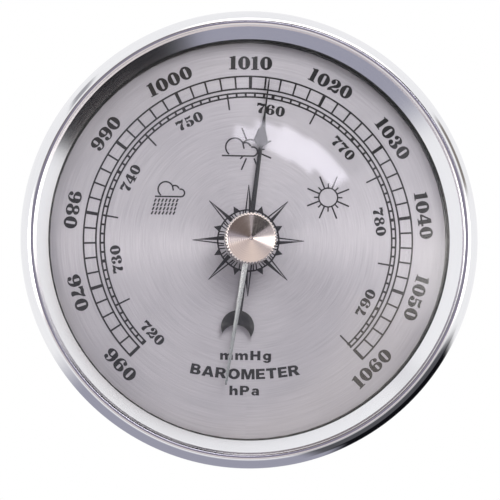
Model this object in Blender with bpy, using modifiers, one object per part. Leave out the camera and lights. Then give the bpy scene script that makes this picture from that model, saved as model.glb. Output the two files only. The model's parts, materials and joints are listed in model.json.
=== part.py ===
"""Aneroid barometer with a round case, a brass movement and a set hand on the glass.

Everything is modelled in the bench frame of one empty: X to the right of the dial, Y up the
dial and Z towards the reader, in metres, with the flat outside of the rear cover at Z = 0.
The empty then stands the instrument up, so that the dial faces world -Y and the wall is at +Y.
"""

import math

import bmesh
import bpy
from mathutils import Matrix, Vector

MM = 0.001
RING_STEPS = 60
TURN_STEPS = 20
SCREW_STEPS = 12
GAP = 0.3

# Case, glass and dial: radii and heights above the rear cover's outside, in millimetres.
CASE_R = 60.5
CASE_BORE_R = 59.5
CASE_REAR = 0.5
CASE_FRONT = 30.7
LUG_INNER = 52.0
LUG_REAR, LUG_FRONT = 1.8, 4.4
SUPPORT_BORE_R = 55.5
SUPPORT_REAR, SUPPORT_FRONT = 25.4, 26.9
COVER_R = CASE_BORE_R - GAP
COVER_THICK = 1.5
BEZEL_R = 66.0
BEZEL_OPENING_R = 58.0
BEZEL_BORE_R = 60.9
BEZEL_REAR = 24.0
BEZEL_CREST_R = 62.3
LIP_REAR, LIP_FRONT = 34.9, 35.6
GLASS_R = 60.6
GLASS_EDGE = 34.4
GLASS_APEX = 37.4
GLASS_THICK = 2.0
GLASS_HOLE_R = 2.8
DIAL_R = 59.2
DIAL_FRONT = 28.0
DIAL_THICK = 0.8
DIAL_HOLE_R = 2.5

# Movement.
PLATE_R = 38.0
BASE_REAR, BASE_FRONT = 1.8, 3.6
TOP_REAR, TOP_FRONT = 24.6, 25.8
BRIDGE_REAR, BRIDGE_FRONT = 17.4, 18.6
BRIDGE_POSTS = ((-21.0, -12.5), (12.0, 0.0))
PILLAR_RADIUS_OUT = 33.5
PILLAR_BEARINGS = (0.0, 120.0, 240.0)
MOVEMENT_SCREW_BEARINGS = (60.0, 180.0, 300.0)
COVER_SCREW_BEARINGS = (45.0, 135.0, 225.0, 315.0)
COVER_SCREW_OUT = 56.0

# The gear train steps the sector up ten to one.
GEAR_MODULE = 0.4
PINION_TEETH = 10
SECTOR_TEETH = 100
SECTOR_TEETH_EACH_SIDE = 5
CENTRE_DISTANCE = GEAR_MODULE * (PINION_TEETH + SECTOR_TEETH) / 2
GEAR_REAR, GEAR_FRONT = 22.0, 23.0
FORK_REACH = 12.0
ROCKER_ARM_REACH = 9.5
CRANK_REACH = 2.4
SHAFT_HEIGHT = 13.0
SECTOR_X = -math.sqrt(CENTRE_DISTANCE**2 - CRANK_REACH**2)
FORK_X = SECTOR_X - FORK_REACH
ROCKER_RATIO = FORK_REACH / ROCKER_ARM_REACH

# Where the pieces stand at rest: the reading is 1012.4 hPa, a little past the top.
HAND_REST_DEG = 6.5
SET_HAND_REST_DEG = 188.4
SECTOR_REST_DEG = -HAND_REST_DEG * PINION_TEETH / SECTOR_TEETH

# Capsule and its leaf.
CAPSULE_R = 20.0
CAPSULE_REAR, CAPSULE_FRONT = 5.6, 10.4
CAPSULE_BOSS_R = 1.9
CAPSULE_SHEET = 0.4
LEAF_REAR, LEAF_FRONT = 3.9, 4.7
ADJUSTER_X = 24.0
ADJUSTER_HOLE_R = 3.5

# Keyhole in the rear cover.
KEYHOLE_Y = 43.0
KEYHOLE_R = 4.5
KEYHOLE_SLOT_TOP = 48.0
KEYHOLE_SLOT_R = 2.6

# Hands.
HAND_REAR, HAND_FRONT = 29.9, 30.4
HAND_TIP = 47.4
SET_HAND_REAR, SET_HAND_FRONT = 33.0, 33.5
SET_HAND_TIP = 42.5
KNOB_R = 7.6
KNOB_TEETH = 56
KNOB_REAR, KNOB_FRONT = 38.9, 44.6
SPINDLE_R = 1.5

BRASS = ("brass", (0.72, 0.53, 0.25), 0.32, 1.0)
STEEL = ("blued_steel", (0.32, 0.34, 0.38), 0.35, 1.0)
BRIGHT_STEEL = ("bright_steel", (0.62, 0.62, 0.63), 0.28, 1.0)
POLISHED = ("polished_bezel", (0.80, 0.80, 0.81), 0.12, 1.0)
SATIN = ("satin_case", (0.68, 0.68, 0.69), 0.38, 1.0)
SILVERED = ("silvered_dial", (0.66, 0.65, 0.66), 0.42, 1.0)
BLACK = ("black_lacquer", (0.010, 0.010, 0.011), 0.38, 0.0)
SILVER_HAND = ("silvered_hand", (0.66, 0.65, 0.64), 0.30, 1.0)
GLASS = ("clear_glass", (0.95, 0.97, 0.96), 0.02, 0.0)
RUBBER = ("black_rubber", (0.02, 0.02, 0.02), 0.75, 0.0)
NYLON = ("white_nylon", (0.75, 0.74, 0.70), 0.45, 0.0)
KNOB_METAL = ("turned_knob", (0.78, 0.75, 0.73), 0.22, 1.0)


def clear_scene():
    for obj in list(bpy.data.objects):
        bpy.data.objects.remove(obj, do_unlink=True)


def new_collection(name, hidden=False):
    collection = bpy.data.collections.new(name)
    collection.hide_render = hidden
    bpy.context.scene.collection.children.link(collection)
    return collection


def finish_material(name, finish):
    """One Principled material for one piece, in the colour of its finish."""
    kind, colour, roughness, metallic = finish
    material = bpy.data.materials.new(f"{name}_{kind}")
    material.use_nodes = True
    shader = material.node_tree.nodes["Principled BSDF"]
    shader.inputs["Base Color"].default_value = (*colour, 1.0)
    shader.inputs["Roughness"].default_value = roughness
    shader.inputs["Metallic"].default_value = metallic
    if kind == "clear_glass":
        shader.inputs["Transmission Weight"].default_value = 1.0
    return material


def place(obj, parent, finish=None, at=(0.0, 0.0, 0.0), turn=0.0):
    """Puts an object in its collection under its empty, at a place in mm and a turn about Z."""
    collection = PARTS if finish else CUTTERS
    collection.objects.link(obj)
    obj.parent = parent
    obj.location = Vector(at) * MM
    obj.rotation_euler = (0.0, 0.0, turn)
    if finish:
        obj.data.materials.append(finish_material(obj.name, finish))
    else:
        obj.hide_render = True
        obj.display_type = "WIRE"
    return obj


def empty(name, parent=None, at=(0.0, 0.0, 0.0), turn=(0.0, 0.0, 0.0)):
    obj = bpy.data.objects.new(name, None)
    bpy.context.scene.collection.objects.link(obj)
    obj.parent = parent
    obj.location = Vector(at) * MM
    obj.rotation_euler = turn
    return obj


def turned(name, profile, finish, parent, closed=False, steps=TURN_STEPS, at=(0, 0, 0)):
    """A turned shape. The profile is (radius, height) in mm, down its outer side."""
    mesh = bpy.data.meshes.new(name)
    points = [(r * MM, 0.0, z * MM) for r, z in profile]
    edges = [(i, i + 1) for i in range(len(points) - 1)]
    if closed:
        edges.append((len(points) - 1, 0))
    mesh.from_pydata(points, edges, [])
    obj = place(bpy.data.objects.new(name, mesh), parent, finish, at)
    screw = obj.modifiers.new("turn", "SCREW")
    screw.axis = "Z"
    screw.steps = steps
    screw.render_steps = steps
    screw.use_merge_vertices = True
    screw.merge_threshold = 0.00001
    screw.use_smooth_shade = True
    return obj


def disc(name, radius, rear, front, finish, parent, steps=TURN_STEPS, at=(0, 0, 0)):
    """A plain round piece along Z."""
    profile = [(0.0, front), (radius, front), (radius, rear), (0.0, rear)]
    return turned(name, profile, finish, parent, steps=steps, at=at)


def ring(name, inner, outer, rear, front, finish, parent, steps=TURN_STEPS, at=(0, 0, 0)):
    """A plain ring or tube along Z."""
    profile = [(outer, front), (outer, rear), (inner, rear), (inner, front)]
    return turned(name, profile, finish, parent, closed=True, steps=steps, at=at)


def circle_points(radius, centre=(0.0, 0.0), count=TURN_STEPS, start=0.0):
    """Points of a circle in mm, all the way round."""
    step = 2.0 * math.pi / count
    return [
        (
            centre[0] + radius * math.cos(start + i * step),
            centre[1] + radius * math.sin(start + i * step),
        )
        for i in range(count)
    ]


def arc_points(radius, start_deg, end_deg, count, centre=(0.0, 0.0)):
    """Points of an arc in mm, from one angle to another, both included."""
    points = []
    for i in range(count):
        angle = math.radians(start_deg + (end_deg - start_deg) * i / (count - 1))
        points.append(
            (centre[0] + radius * math.cos(angle), centre[1] + radius * math.sin(angle))
        )
    return points


def polar(radius, bearing_deg):
    """A point in mm at a bearing measured clockwise from the top of the dial."""
    angle = math.radians(bearing_deg)
    return (radius * math.sin(angle), radius * math.cos(angle))


def flat(name, outlines, rear, front, finish, parent, at=(0, 0, 0), turn=0.0):
    """A flat piece: the first outline is its edge, and the others are holes in it."""
    curve = bpy.data.curves.new(name, "CURVE")
    curve.dimensions = "2D"
    curve.fill_mode = "BOTH"
    curve.extrude = (front - rear) / 2 * MM
    for outline in outlines:
        spline = curve.splines.new("POLY")
        spline.points.add(len(outline) - 1)
        for point, (x, y) in zip(spline.points, outline):
            point.co = (x * MM, y * MM, 0.0, 1.0)
        spline.use_cyclic_u = True
    middle = (at[0], at[1], at[2] + (rear + front) / 2)
    return place(bpy.data.objects.new(name, curve), parent, finish, middle, turn)


def as_mesh(obj):
    """The same piece as a welded mesh, so that it can be cut or joined."""
    bpy.context.view_layer.update()
    graph = bpy.context.evaluated_depsgraph_get()
    mesh = bpy.data.meshes.new_from_object(obj.evaluated_get(graph))
    work = bmesh.new()
    work.from_mesh(mesh)
    bmesh.ops.remove_doubles(work, verts=work.verts, dist=0.000001)
    work.to_mesh(mesh)
    work.free()
    name, collection, parent = obj.name, obj.users_collection[0], obj.parent
    matrix = obj.matrix_world.copy()
    hidden, display = obj.hide_render, obj.display_type
    bpy.data.objects.remove(obj, do_unlink=True)
    made = bpy.data.objects.new(name, mesh)
    collection.objects.link(made)
    made.parent = parent
    made.matrix_world = matrix
    made.hide_render, made.display_type = hidden, display
    return made


def block(name, low, high, parent, finish=None):
    """A box between two corners in mm."""
    bpy.ops.mesh.primitive_cube_add(size=1.0)
    obj = bpy.context.active_object
    for collection in list(obj.users_collection):
        collection.objects.unlink(obj)
    obj.name = name
    size = [(b - a) * MM for a, b in zip(low, high)]
    obj.data.transform(Matrix.Diagonal((*size, 1.0)))
    middle = [(a + b) / 2 for a, b in zip(low, high)]
    return place(obj, parent, finish, middle)


def combine(obj, tool, operation):
    """A cut or a union by one cutter, kept as a modifier."""
    modifier = obj.modifiers.new(tool.name, "BOOLEAN")
    modifier.operation = operation
    modifier.solver = "EXACT"
    modifier.object = tool
    return obj


def cut(obj, tool):
    return combine(obj, tool, "DIFFERENCE")


def joined(obj, tool):
    return combine(obj, tool, "UNION")


def lying_rod(name, radius, x_low, x_high, y, z, parent, steps=SCREW_STEPS):
    """A round tool along X, for cross holes and cross pins."""
    bpy.ops.mesh.primitive_cylinder_add(
        vertices=steps,
        radius=radius * MM,
        depth=(x_high - x_low) * MM,
    )
    obj = bpy.context.active_object
    for collection in list(obj.users_collection):
        collection.objects.unlink(obj)
    obj.name = name
    obj.data.transform(Matrix.Rotation(math.pi / 2, 4, "Y"))
    return place(obj, parent, None, ((x_low + x_high) / 2, y, z))


def slotted(obj, width, length, depth, top, at, turn=0.0):
    """A screwdriver slot across a screw's head, whose top is at a height in mm."""
    low = (-length / 2, -width / 2, -depth)
    high = (length / 2, width / 2, depth)
    tool = block(f"{obj.name}_slot", low, high, obj.parent)
    tool.location = Vector((at[0], at[1], top)) * MM
    tool.rotation_euler = (0.0, 0.0, turn)
    return cut(obj, tool)


def countersunk_screw(name, at, tip, parent, turn):
    """A countersunk screw driven in from the rear, with its head flush in the rear cover."""
    profile = [
        (0.0, tip),
        (1.0, tip),
        (1.0, 1.5),
        (1.95, 0.55),
        (1.95, 0.05),
        (0.0, 0.05),
    ]
    obj = turned(name, profile, BRIGHT_STEEL, parent, steps=SCREW_STEPS, at=(*at, 0))
    return slotted(obj, 0.7, 5.0, 0.35, 0.05, at, turn)


def cheese_head_screw(name, at, seat, tip, parent, turn, head_r=2.0, stem_r=0.9):
    """A cheese head screw driven in from the front, whose head sits at a height in mm."""
    profile = [
        (0.0, seat + 1.1),
        (head_r - 0.2, seat + 1.1),
        (head_r, seat + 0.9),
        (head_r, seat),
        (stem_r, seat),
        (stem_r, tip),
        (0.0, tip),
    ]
    obj = turned(name, profile, STEEL, parent, steps=SCREW_STEPS, at=(*at, 0))
    return slotted(obj, 0.6, 2 * head_r + 1, 0.45, seat + 1.1, at, turn)


def countersunk_hole(at, parent, name):
    """The cutter for a countersunk screw through the rear cover."""
    profile = [(0.0, 4.0), (1.3, 4.0), (1.3, 1.62), (2.3, 0.62), (2.3, -1.0), (0.0, -1.0)]
    return turned(name, profile, None, parent, steps=SCREW_STEPS, at=(*at, 0))


def bezel(parent):
    """The ring that holds the glass: a brushed funnel, a fine step and a round polished bead."""
    profile = [(BEZEL_CREST_R, 39.5)]
    profile += [
        (63.6 + 2.4 * math.cos(a), 37.2 + 3.1 * math.sin(a))
        for a in [math.radians(d) for d in (95, 60, 30)]
    ]
    profile += [(BEZEL_R, 36.6), (BEZEL_R, 33.0), (64.6, 29.6), (62.0, BEZEL_REAR)]
    profile += [(BEZEL_BORE_R, BEZEL_REAR), (BEZEL_BORE_R, LIP_REAR)]
    profile += [(BEZEL_OPENING_R, LIP_REAR), (BEZEL_OPENING_R, LIP_FRONT), (61.6, 39.0)]
    return turned("bezel", profile, POLISHED, parent, closed=True, steps=RING_STEPS)


def dome_height(radius, edge, apex, edge_radius):
    """Height of a shallow spherical dome at a radius, by the sagitta of its sphere."""
    sagitta = apex - edge
    sphere = (edge_radius**2 + sagitta**2) / (2 * sagitta)
    return apex - sphere + math.sqrt(sphere**2 - radius**2)


def glass(parent):
    radii = (GLASS_HOLE_R, 22.0, 42.0, GLASS_R)
    front = [(r, dome_height(r, GLASS_EDGE, GLASS_APEX, GLASS_R)) for r in radii]
    rear = [(r, z - GLASS_THICK) for r, z in reversed(front)]
    return turned("glass", front + rear, GLASS, parent, closed=True, steps=RING_STEPS)


def glass_bush(parent):
    """Flanged bush that keeps the spindle off the glass."""
    profile = [
        (4.4, 38.2),
        (4.4, 37.7),
        (2.5, 37.7),
        (2.5, 35.2),
        (1.6, 35.2),
        (1.6, 38.2),
    ]
    return turned("glass_bush", profile, NYLON, parent, closed=True)


def case_shell(parent):
    """The drum of the case, a plain tube."""
    ring("case_shell", CASE_BORE_R, CASE_R, CASE_REAR, CASE_FRONT, SATIN, parent, RING_STEPS)
    rear, front = SUPPORT_REAR, SUPPORT_FRONT
    ring("dial_support_ring", SUPPORT_BORE_R, COVER_R, rear, front, SATIN, parent, RING_STEPS)


def cover_lug(number, bearing, parent):
    """A tapped lug on the inside of the drum that one screw of the rear cover goes into."""
    half_width = 4.5
    half_angle = math.degrees(math.asin(half_width / COVER_R))
    outline = arc_points(COVER_R, -half_angle, half_angle, 5)
    outline += [(LUG_INNER, half_width), (LUG_INNER, -half_width)]
    hole = circle_points(1.3, (COVER_SCREW_OUT, 0.0), SCREW_STEPS)
    turn = math.radians(90.0 - bearing)
    name = f"cover_lug_{number}"
    return flat(name, [outline, hole], LUG_REAR, LUG_FRONT, SATIN, parent, turn=turn)


def keyhole_outline():
    """A round entry with a narrower slot above it, anticlockwise."""
    half = math.degrees(math.asin(KEYHOLE_SLOT_R / KEYHOLE_R))
    entry = arc_points(KEYHOLE_R, 90 + half, 450 - half, 22, (0, KEYHOLE_Y))
    slot = arc_points(KEYHOLE_SLOT_R, 0, 180, 11, (0, KEYHOLE_SLOT_TOP))
    return entry + slot


def rear_cover(parent):
    """Flat cover with the keyhole, the adjuster hole and seven countersunk screw holes."""
    outlines = [
        circle_points(COVER_R, count=RING_STEPS),
        keyhole_outline(),
        circle_points(ADJUSTER_HOLE_R, (ADJUSTER_X, 0.0)),
    ]
    obj = as_mesh(flat("rear_cover", outlines, 0.0, COVER_THICK, SATIN, parent))
    places = [polar(COVER_SCREW_OUT, b) for b in COVER_SCREW_BEARINGS]
    places += [polar(PILLAR_RADIUS_OUT, b) for b in MOVEMENT_SCREW_BEARINGS]
    for number, at in enumerate(places, 1):
        cut(obj, countersunk_hole(at, parent, f"cover_hole_{number}"))
    return obj


def case_parts(parent):
    """Case, bezel, glass, seals, dial, and the lugs and screws of the rear cover."""
    bezel(parent)
    glass(parent)
    glass_bush(parent)
    ring("glass_gasket", 58.5, 60.5, 31.0, 32.1, RUBBER, parent, RING_STEPS)
    ring("dial_spacer_ring", 57.5, 59.2, 28.3, 30.7, RUBBER, parent, RING_STEPS)
    case_shell(parent)
    rear_cover(parent)
    dial_rear = DIAL_FRONT - DIAL_THICK
    ring("dial_plate", DIAL_HOLE_R, DIAL_R, dial_rear, DIAL_FRONT, SILVERED, parent, RING_STEPS)
    for number, bearing in enumerate(COVER_SCREW_BEARINGS, 1):
        at = polar(COVER_SCREW_OUT, bearing)
        turn = math.radians(25 * number)
        cover_lug(number, bearing, parent)
        countersunk_screw(f"rear_cover_screw_{number}", at, 5.0, parent, turn)


def base_plate(parent):
    """Movement base plate, tapped for its screws, the pillars and the adjusting screw."""
    outlines = [circle_points(PLATE_R, count=48)]
    for bearing in MOVEMENT_SCREW_BEARINGS + PILLAR_BEARINGS:
        outlines.append(circle_points(1.3, polar(PILLAR_RADIUS_OUT, bearing), SCREW_STEPS))
    outlines.append(circle_points(2.1, (ADJUSTER_X, 0.0)))
    return flat("base_plate", outlines, BASE_REAR, BASE_FRONT, BRASS, parent)


def top_plate(parent):
    """Top plate with pivot holes for the two arbors and a window on each side."""
    outlines = [circle_points(PLATE_R, count=48), circle_points(0.9)]
    outlines.append(circle_points(0.6, (SECTOR_X, CRANK_REACH), SCREW_STEPS))
    for bearing in PILLAR_BEARINGS:
        outlines.append(circle_points(1.2, polar(PILLAR_RADIUS_OUT, bearing), SCREW_STEPS))
    for x, y in BRIDGE_POSTS:
        outlines.append(circle_points(1.2, (x, y), SCREW_STEPS))
    outlines.append(circle_points(7.0, (19.0, 13.0)))
    outlines.append(circle_points(7.0, (19.0, -13.0)))
    return flat("top_plate", outlines, TOP_REAR, TOP_FRONT, BRASS, parent)


def plates_and_pillars(parent):
    """The movement's frame, its pillars and all of its screws."""
    base_plate(parent)
    top_plate(parent)
    for number, bearing in enumerate(PILLAR_BEARINGS, 1):
        at = polar(PILLAR_RADIUS_OUT, bearing)
        profile = [
            (2.6, TOP_REAR - GAP),
            (2.6, BASE_FRONT + GAP),
            (1.0, BASE_FRONT + GAP),
            (1.0, BASE_REAR + 0.1),
            (0.0, BASE_REAR + 0.1),
            (0.0, TOP_REAR - 5.0),
            (1.2, TOP_REAR - 5.0),
            (1.2, TOP_REAR - GAP),
        ]
        turned(f"pillar_{number}", profile, BRASS, parent, closed=True, steps=SCREW_STEPS, at=(*at, 0))
        turn = math.radians(50 * number)
        seat = TOP_FRONT + 0.1
        cheese_head_screw(f"top_plate_screw_{number}", at, seat, 21.0, parent, turn)
    for number, bearing in enumerate(MOVEMENT_SCREW_BEARINGS, 1):
        at = polar(PILLAR_RADIUS_OUT, bearing)
        turn = math.radians(35 * number + 10)
        countersunk_screw(f"movement_screw_{number}", at, BASE_FRONT + 0.4, parent, turn)


def bridge(parent):
    """Rear bridge for both arbors, with an ear bent down to hold the rocking shaft."""
    outline = [
        (-24.0, -15.5), (-18.0, -15.5), (-16.0, -6.0), (-4.0, -3.5), (12.0, -3.0), (14.0, -2.0),
        (15.0, 0.0), (14.0, 2.0), (12.0, 3.0), (2.0, 5.0), (-20.0, 6.0), (-25.5, 5.0),
        (-26.5, 2.4), (-25.5, -2.0),
    ]
    holes = [circle_points(1.2, at, SCREW_STEPS) for at in BRIDGE_POSTS]
    holes.append(circle_points(0.6, count=SCREW_STEPS))
    holes.append(circle_points(0.6, (SECTOR_X, CRANK_REACH), SCREW_STEPS))
    plate = flat("bridge_plate", [outline] + holes, BRIDGE_REAR, BRIDGE_FRONT, BRASS, parent)
    plate = as_mesh(plate)
    ear = block("bridge_ear", (5.2, 0.4, 11.4), (6.2, 4.4, 17.9), parent)
    joined(plate, ear)
    hole = lying_rod("bridge_ear_hole", 0.62, 4.0, 8.0, CRANK_REACH, SHAFT_HEIGHT, parent)
    cut(plate, hole)
    for number, at in enumerate(BRIDGE_POSTS, 1):
        low, high = BRIDGE_FRONT + GAP, TOP_REAR - GAP
        profile = [(1.9, high), (1.9, low), (1.2, low), (1.2, low + 4.6), (0.9, low + 4.6), (0.9, high)]
        turned(f"bridge_post_{number}", profile, BRASS, parent, closed=True, steps=SCREW_STEPS, at=(*at, 0))
        profile = [
            (0.0, low + 4.0),
            (0.9, low + 4.0),
            (0.9, BRIDGE_REAR - 0.1),
            (1.8, BRIDGE_REAR - 0.1),
            (1.8, BRIDGE_REAR - 0.9),
            (1.6, BRIDGE_REAR - 1.1),
            (0.0, BRIDGE_REAR - 1.1),
        ]
        screw = turned(f"bridge_screw_{number}", profile, STEEL, parent, steps=SCREW_STEPS, at=(*at, 0))
        slotted(screw, 0.6, 5.0, 0.45, BRIDGE_REAR - 1.1, at, math.radians(40 * number))


def rocker_bracket(parent):
    """Bent bracket on the base plate that holds the outer end of the rocking shaft."""
    foot = block("rocker_bracket", (-35.4, -0.9, 3.9), (-29.0, 5.7, 4.7), parent, BRASS)
    ear = block("rocker_bracket_ear", (-36.2, -0.1, 3.9), (-35.2, 4.9, 15.0), parent)
    joined(foot, ear)
    cut(foot, lying_rod("rocker_bracket_hole", 0.62, -38.0, -34.6, CRANK_REACH, SHAFT_HEIGHT, parent))
    cut(foot, disc("rocker_foot_hole", 1.2, 3.0, 5.5, None, parent, SCREW_STEPS, (-31.4, CRANK_REACH, 0)))
    cheese_head_screw("rocker_bracket_screw", (-31.4, CRANK_REACH), 4.8, 3.7, parent, 0.4)


def capsule(parent):
    """Two corrugated diaphragms joined at the rim, open at the bosses that carry the studs."""
    middle = (CAPSULE_REAR + CAPSULE_FRONT) / 2
    half = (CAPSULE_FRONT - CAPSULE_REAR) / 2
    waves = [(CAPSULE_BOSS_R, half), (6.0, half - 0.8), (11.0, half), (15.5, half - 0.8)]
    inner = [(r, h - CAPSULE_SHEET) for r, h in waves] + [(CAPSULE_R - 1.2, 0.4)]
    outer = waves + [(CAPSULE_R, 0.7)]
    profile = [(r, middle + h) for r, h in outer]
    profile += [(r, middle - h) for r, h in reversed(outer)]
    profile += [(r, middle - h) for r, h in inner]
    profile += [(r, middle + h) for r, h in reversed(inner)]
    turned("capsule", profile, BRASS, parent, closed=True, steps=28)


def capsule_mounting(parent):
    """The leaf that carries the capsule, its screws, the base stud and the adjusting screw."""
    outline = [(-26.0, -5.0), (27.0, -5.0), (28.0, -3.5), (28.0, 3.5), (27.0, 5.0), (-26.0, 5.0)]
    holes = [circle_points(1.2, (-23.0, y), SCREW_STEPS) for y in (-3.0, 3.0)]
    holes.append(circle_points(1.3, count=SCREW_STEPS))
    flat("capsule_leaf", [outline] + holes, LEAF_REAR, LEAF_FRONT, STEEL, parent)
    for number, y in enumerate((-3.0, 3.0), 1):
        cheese_head_screw(f"leaf_screw_{number}", (-23.0, y), 4.8, 3.7, parent, 0.7 * number, 1.7)
    profile = [(0.0, 7.0), (1.6, 7.0), (1.6, 5.3), (2.6, 5.3), (2.6, 5.0), (1.0, 5.0), (1.0, 4.0), (0.0, 4.0)]
    turned("capsule_base_stud", profile, BRASS, parent, steps=SCREW_STEPS)
    adjuster = disc("adjusting_screw", 2.0, 2.0, 3.7, BRIGHT_STEEL, ADJUSTER_AXIS, at=(0, 0, 0))
    slotted(adjuster, 0.6, 6.0, 0.7, 2.0, (0.0, 0.0), 0.5)


def capsule_post(parent):
    """The post on the capsule's front, flattened at its end and drilled for the crank's pin."""
    profile = [
        (0.0, 11.9),
        (1.2, 11.9),
        (1.2, 11.1),
        (2.4, 11.1),
        (2.4, 10.7),
        (1.6, 10.7),
        (1.6, 8.8),
        (0.0, 8.8),
    ]
    post = turned("capsule_post", profile, BRASS, parent, steps=SCREW_STEPS)
    tongue = block("post_tongue", (-0.8, -1.0, 11.3), (0.8, 1.0, 14.4), parent)
    joined(post, tongue)
    cut(post, lying_rod("post_eye", 0.66, -2.0, 2.0, 0.0, SHAFT_HEIGHT, parent))


def rocking_shaft(parent):
    """Shaft with pivots at both ends and the short crank that follows the capsule.

    The parent empty lies on the shaft's axis, with X along the shaft."""
    bpy.ops.mesh.primitive_cylinder_add(vertices=SCREW_STEPS, radius=0.9 * MM, depth=39.8 * MM)
    shaft = bpy.context.active_object
    for collection in list(shaft.users_collection):
        collection.objects.unlink(shaft)
    shaft.name = "rocking_shaft"
    shaft.data.transform(Matrix.Rotation(math.pi / 2, 4, "Y"))
    place(shaft, parent, STEEL, (-15.0, 0.0, 0.0))
    joined(shaft, lying_rod("shaft_pivots", 0.5, -36.8, 6.8, 0.0, 0.0, parent))
    joined(shaft, block("crank_web", (-2.4, -3.1, -0.7), (-1.4, 0.0, 0.7), parent))
    joined(shaft, lying_rod("crank_pin", 0.4, -1.9, 1.3, -CRANK_REACH, 0.0, parent, 12))


def rocker_arm(parent):
    """Arm on the rocking shaft whose pin drives the sector's fork."""
    middle = ROCKER_ARM_REACH
    arm = block("rocker_arm", (FORK_X - 0.5, -1.9, -1.9), (FORK_X + 0.5, 1.9, 1.9), parent, BRASS)
    joined(arm, block("arm_bar", (FORK_X - 0.5, -0.8, 1.0), (FORK_X + 0.5, 0.8, 7.6), parent))
    joined(arm, disc("arm_pin", 0.4, 7.0, middle + 1.2, None, parent, 12, (FORK_X, 0, 0)))
    cut(arm, lying_rod("arm_bore", 0.95, FORK_X - 2, FORK_X + 2, 0.0, 0.0, parent))


def tooth_flank(pitch_r, teeth, addendum, dedendum, backlash):
    """One tooth in polar form, (radius, angle) about its own middle, root to tip and back."""
    half = math.pi / teeth / 2 - backlash / pitch_r
    root, tip = pitch_r - dedendum, pitch_r + addendum
    return [
        (root, -half * 1.45),
        (pitch_r, -half),
        (tip, -half * 0.42),
        (tip, half * 0.42),
        (pitch_r, half),
        (root, half * 1.45),
    ]


def sector_outline():
    """Toothed rim towards the pinion, a web to the hub, and a forked tail the other way."""
    pitch_r = GEAR_MODULE * SECTOR_TEETH / 2
    pitch_angle = 2 * math.pi / SECTOR_TEETH
    toothed = tooth_flank(pitch_r, SECTOR_TEETH, GEAR_MODULE * 0.9, GEAR_MODULE * 1.25, 0.05)
    middle = math.atan2(-CRANK_REACH, -SECTOR_X)
    points = []
    for k in range(-SECTOR_TEETH_EACH_SIDE, SECTOR_TEETH_EACH_SIDE + 1):
        for radius, angle in toothed:
            a = middle + k * pitch_angle + angle
            points.append((radius * math.cos(a), radius * math.sin(a)))
    spread = (SECTOR_TEETH_EACH_SIDE + 1) * pitch_angle
    root = pitch_r - GEAR_MODULE * 1.25
    ends = [middle + spread - 0.02, middle - spread + 0.02]
    rim_out = [(root * math.cos(a), root * math.sin(a)) for a in ends]
    rim_in = [(16.6 * math.cos(a), 16.6 * math.sin(a)) for a in ends]
    top = [rim_out[0], rim_in[0], (4.0, 1.6), (1.6, 2.2)]
    fork = [
        (-7.5, 1.4), (-9.0, 2.1), (-14.6, 2.1), (-14.6, 0.8), (-9.6, 0.8),
        (-9.6, -0.8), (-14.6, -0.8), (-14.6, -2.1), (-9.0, -2.1), (-7.5, -1.4),
    ]
    bottom = [(1.6, -2.2), (4.0, -2.0), rim_in[1], rim_out[1]]
    return points + top + fork + bottom


def sector(parent):
    """Sector gear on its arbor. The parent empty lies on the arbor's axis."""
    outlines = [sector_outline(), circle_points(0.85, count=SCREW_STEPS)]
    flat("sector_gear", outlines, GEAR_REAR, GEAR_FRONT, BRASS, parent)
    profile = [
        (0.0, TOP_FRONT - 0.1), (0.45, TOP_FRONT - 0.1), (0.45, TOP_REAR - 0.3), (0.8, TOP_REAR - 0.3),
        (0.8, 21.7), (1.8, 21.7), (1.8, 20.7), (0.8, 20.7), (0.8, BRIDGE_FRONT + 0.3),
        (0.45, BRIDGE_FRONT + 0.3), (0.45, BRIDGE_REAR + 0.1), (0.0, BRIDGE_REAR + 0.1),
    ]
    turned("sector_arbor", profile, STEEL, parent, steps=SCREW_STEPS)


def pinion_outline():
    """All ten leaves of the pinion, with a gap facing the sector's middle tooth."""
    pitch_r = GEAR_MODULE * PINION_TEETH / 2
    pitch_angle = 2 * math.pi / PINION_TEETH
    leaf = tooth_flank(pitch_r, PINION_TEETH, GEAR_MODULE * 0.9, GEAR_MODULE * 1.25, 0.05)
    towards = math.atan2(CRANK_REACH, SECTOR_X)
    points = []
    for k in range(PINION_TEETH):
        for radius, angle in leaf:
            a = towards + (k + 0.5) * pitch_angle + angle
            points.append((radius * math.cos(a), radius * math.sin(a)))
    return points


def pinion_arbor(parent):
    """Arbor of the pressure hand, with the pinion's leaves cut on it."""
    leaves = flat("pinion_arbor", [pinion_outline()], 21.3, 23.7, STEEL, parent)
    leaves = as_mesh(leaves)
    profile = [
        (0.0, 31.0), (0.7, 31.0), (0.7, 28.2), (0.8, 28.2), (0.8, 18.9), (0.45, 18.9),
        (0.45, 17.5), (0.0, 17.5),
    ]
    arbor = turned("pinion_arbor_core", profile, None, parent, steps=SCREW_STEPS)
    return joined(leaves, arbor)


def hairspring(parent):
    """Flat spiral from the collet to the stud, with its strip drawn as a fine wire."""
    inner, outer, turns, per_turn = 2.0, 6.0, 3, 12
    count = turns * per_turn
    curve = bpy.data.curves.new("hairspring", "CURVE")
    curve.dimensions = "3D"
    curve.bevel_depth = 0.12 * MM
    curve.bevel_resolution = 2
    curve.use_fill_caps = True
    spline = curve.splines.new("POLY")
    spline.points.add(count)
    for i in range(count + 1):
        angle = 2 * math.pi * i / per_turn
        radius = inner + (outer - inner) * i / count
        x, y = radius * math.cos(angle), radius * math.sin(angle)
        spline.points[i].co = (x * MM, y * MM, 0.0, 1.0)
    place(bpy.data.objects.new("hairspring", curve), parent, STEEL, (0, 0, 20.1))
    end = 2 * math.pi * count / per_turn
    at = (6.9 * math.cos(end), 6.9 * math.sin(end), 0)
    disc("hairspring_stud", 0.55, 18.9, 21.0, BRASS, parent, SCREW_STEPS, at)


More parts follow.
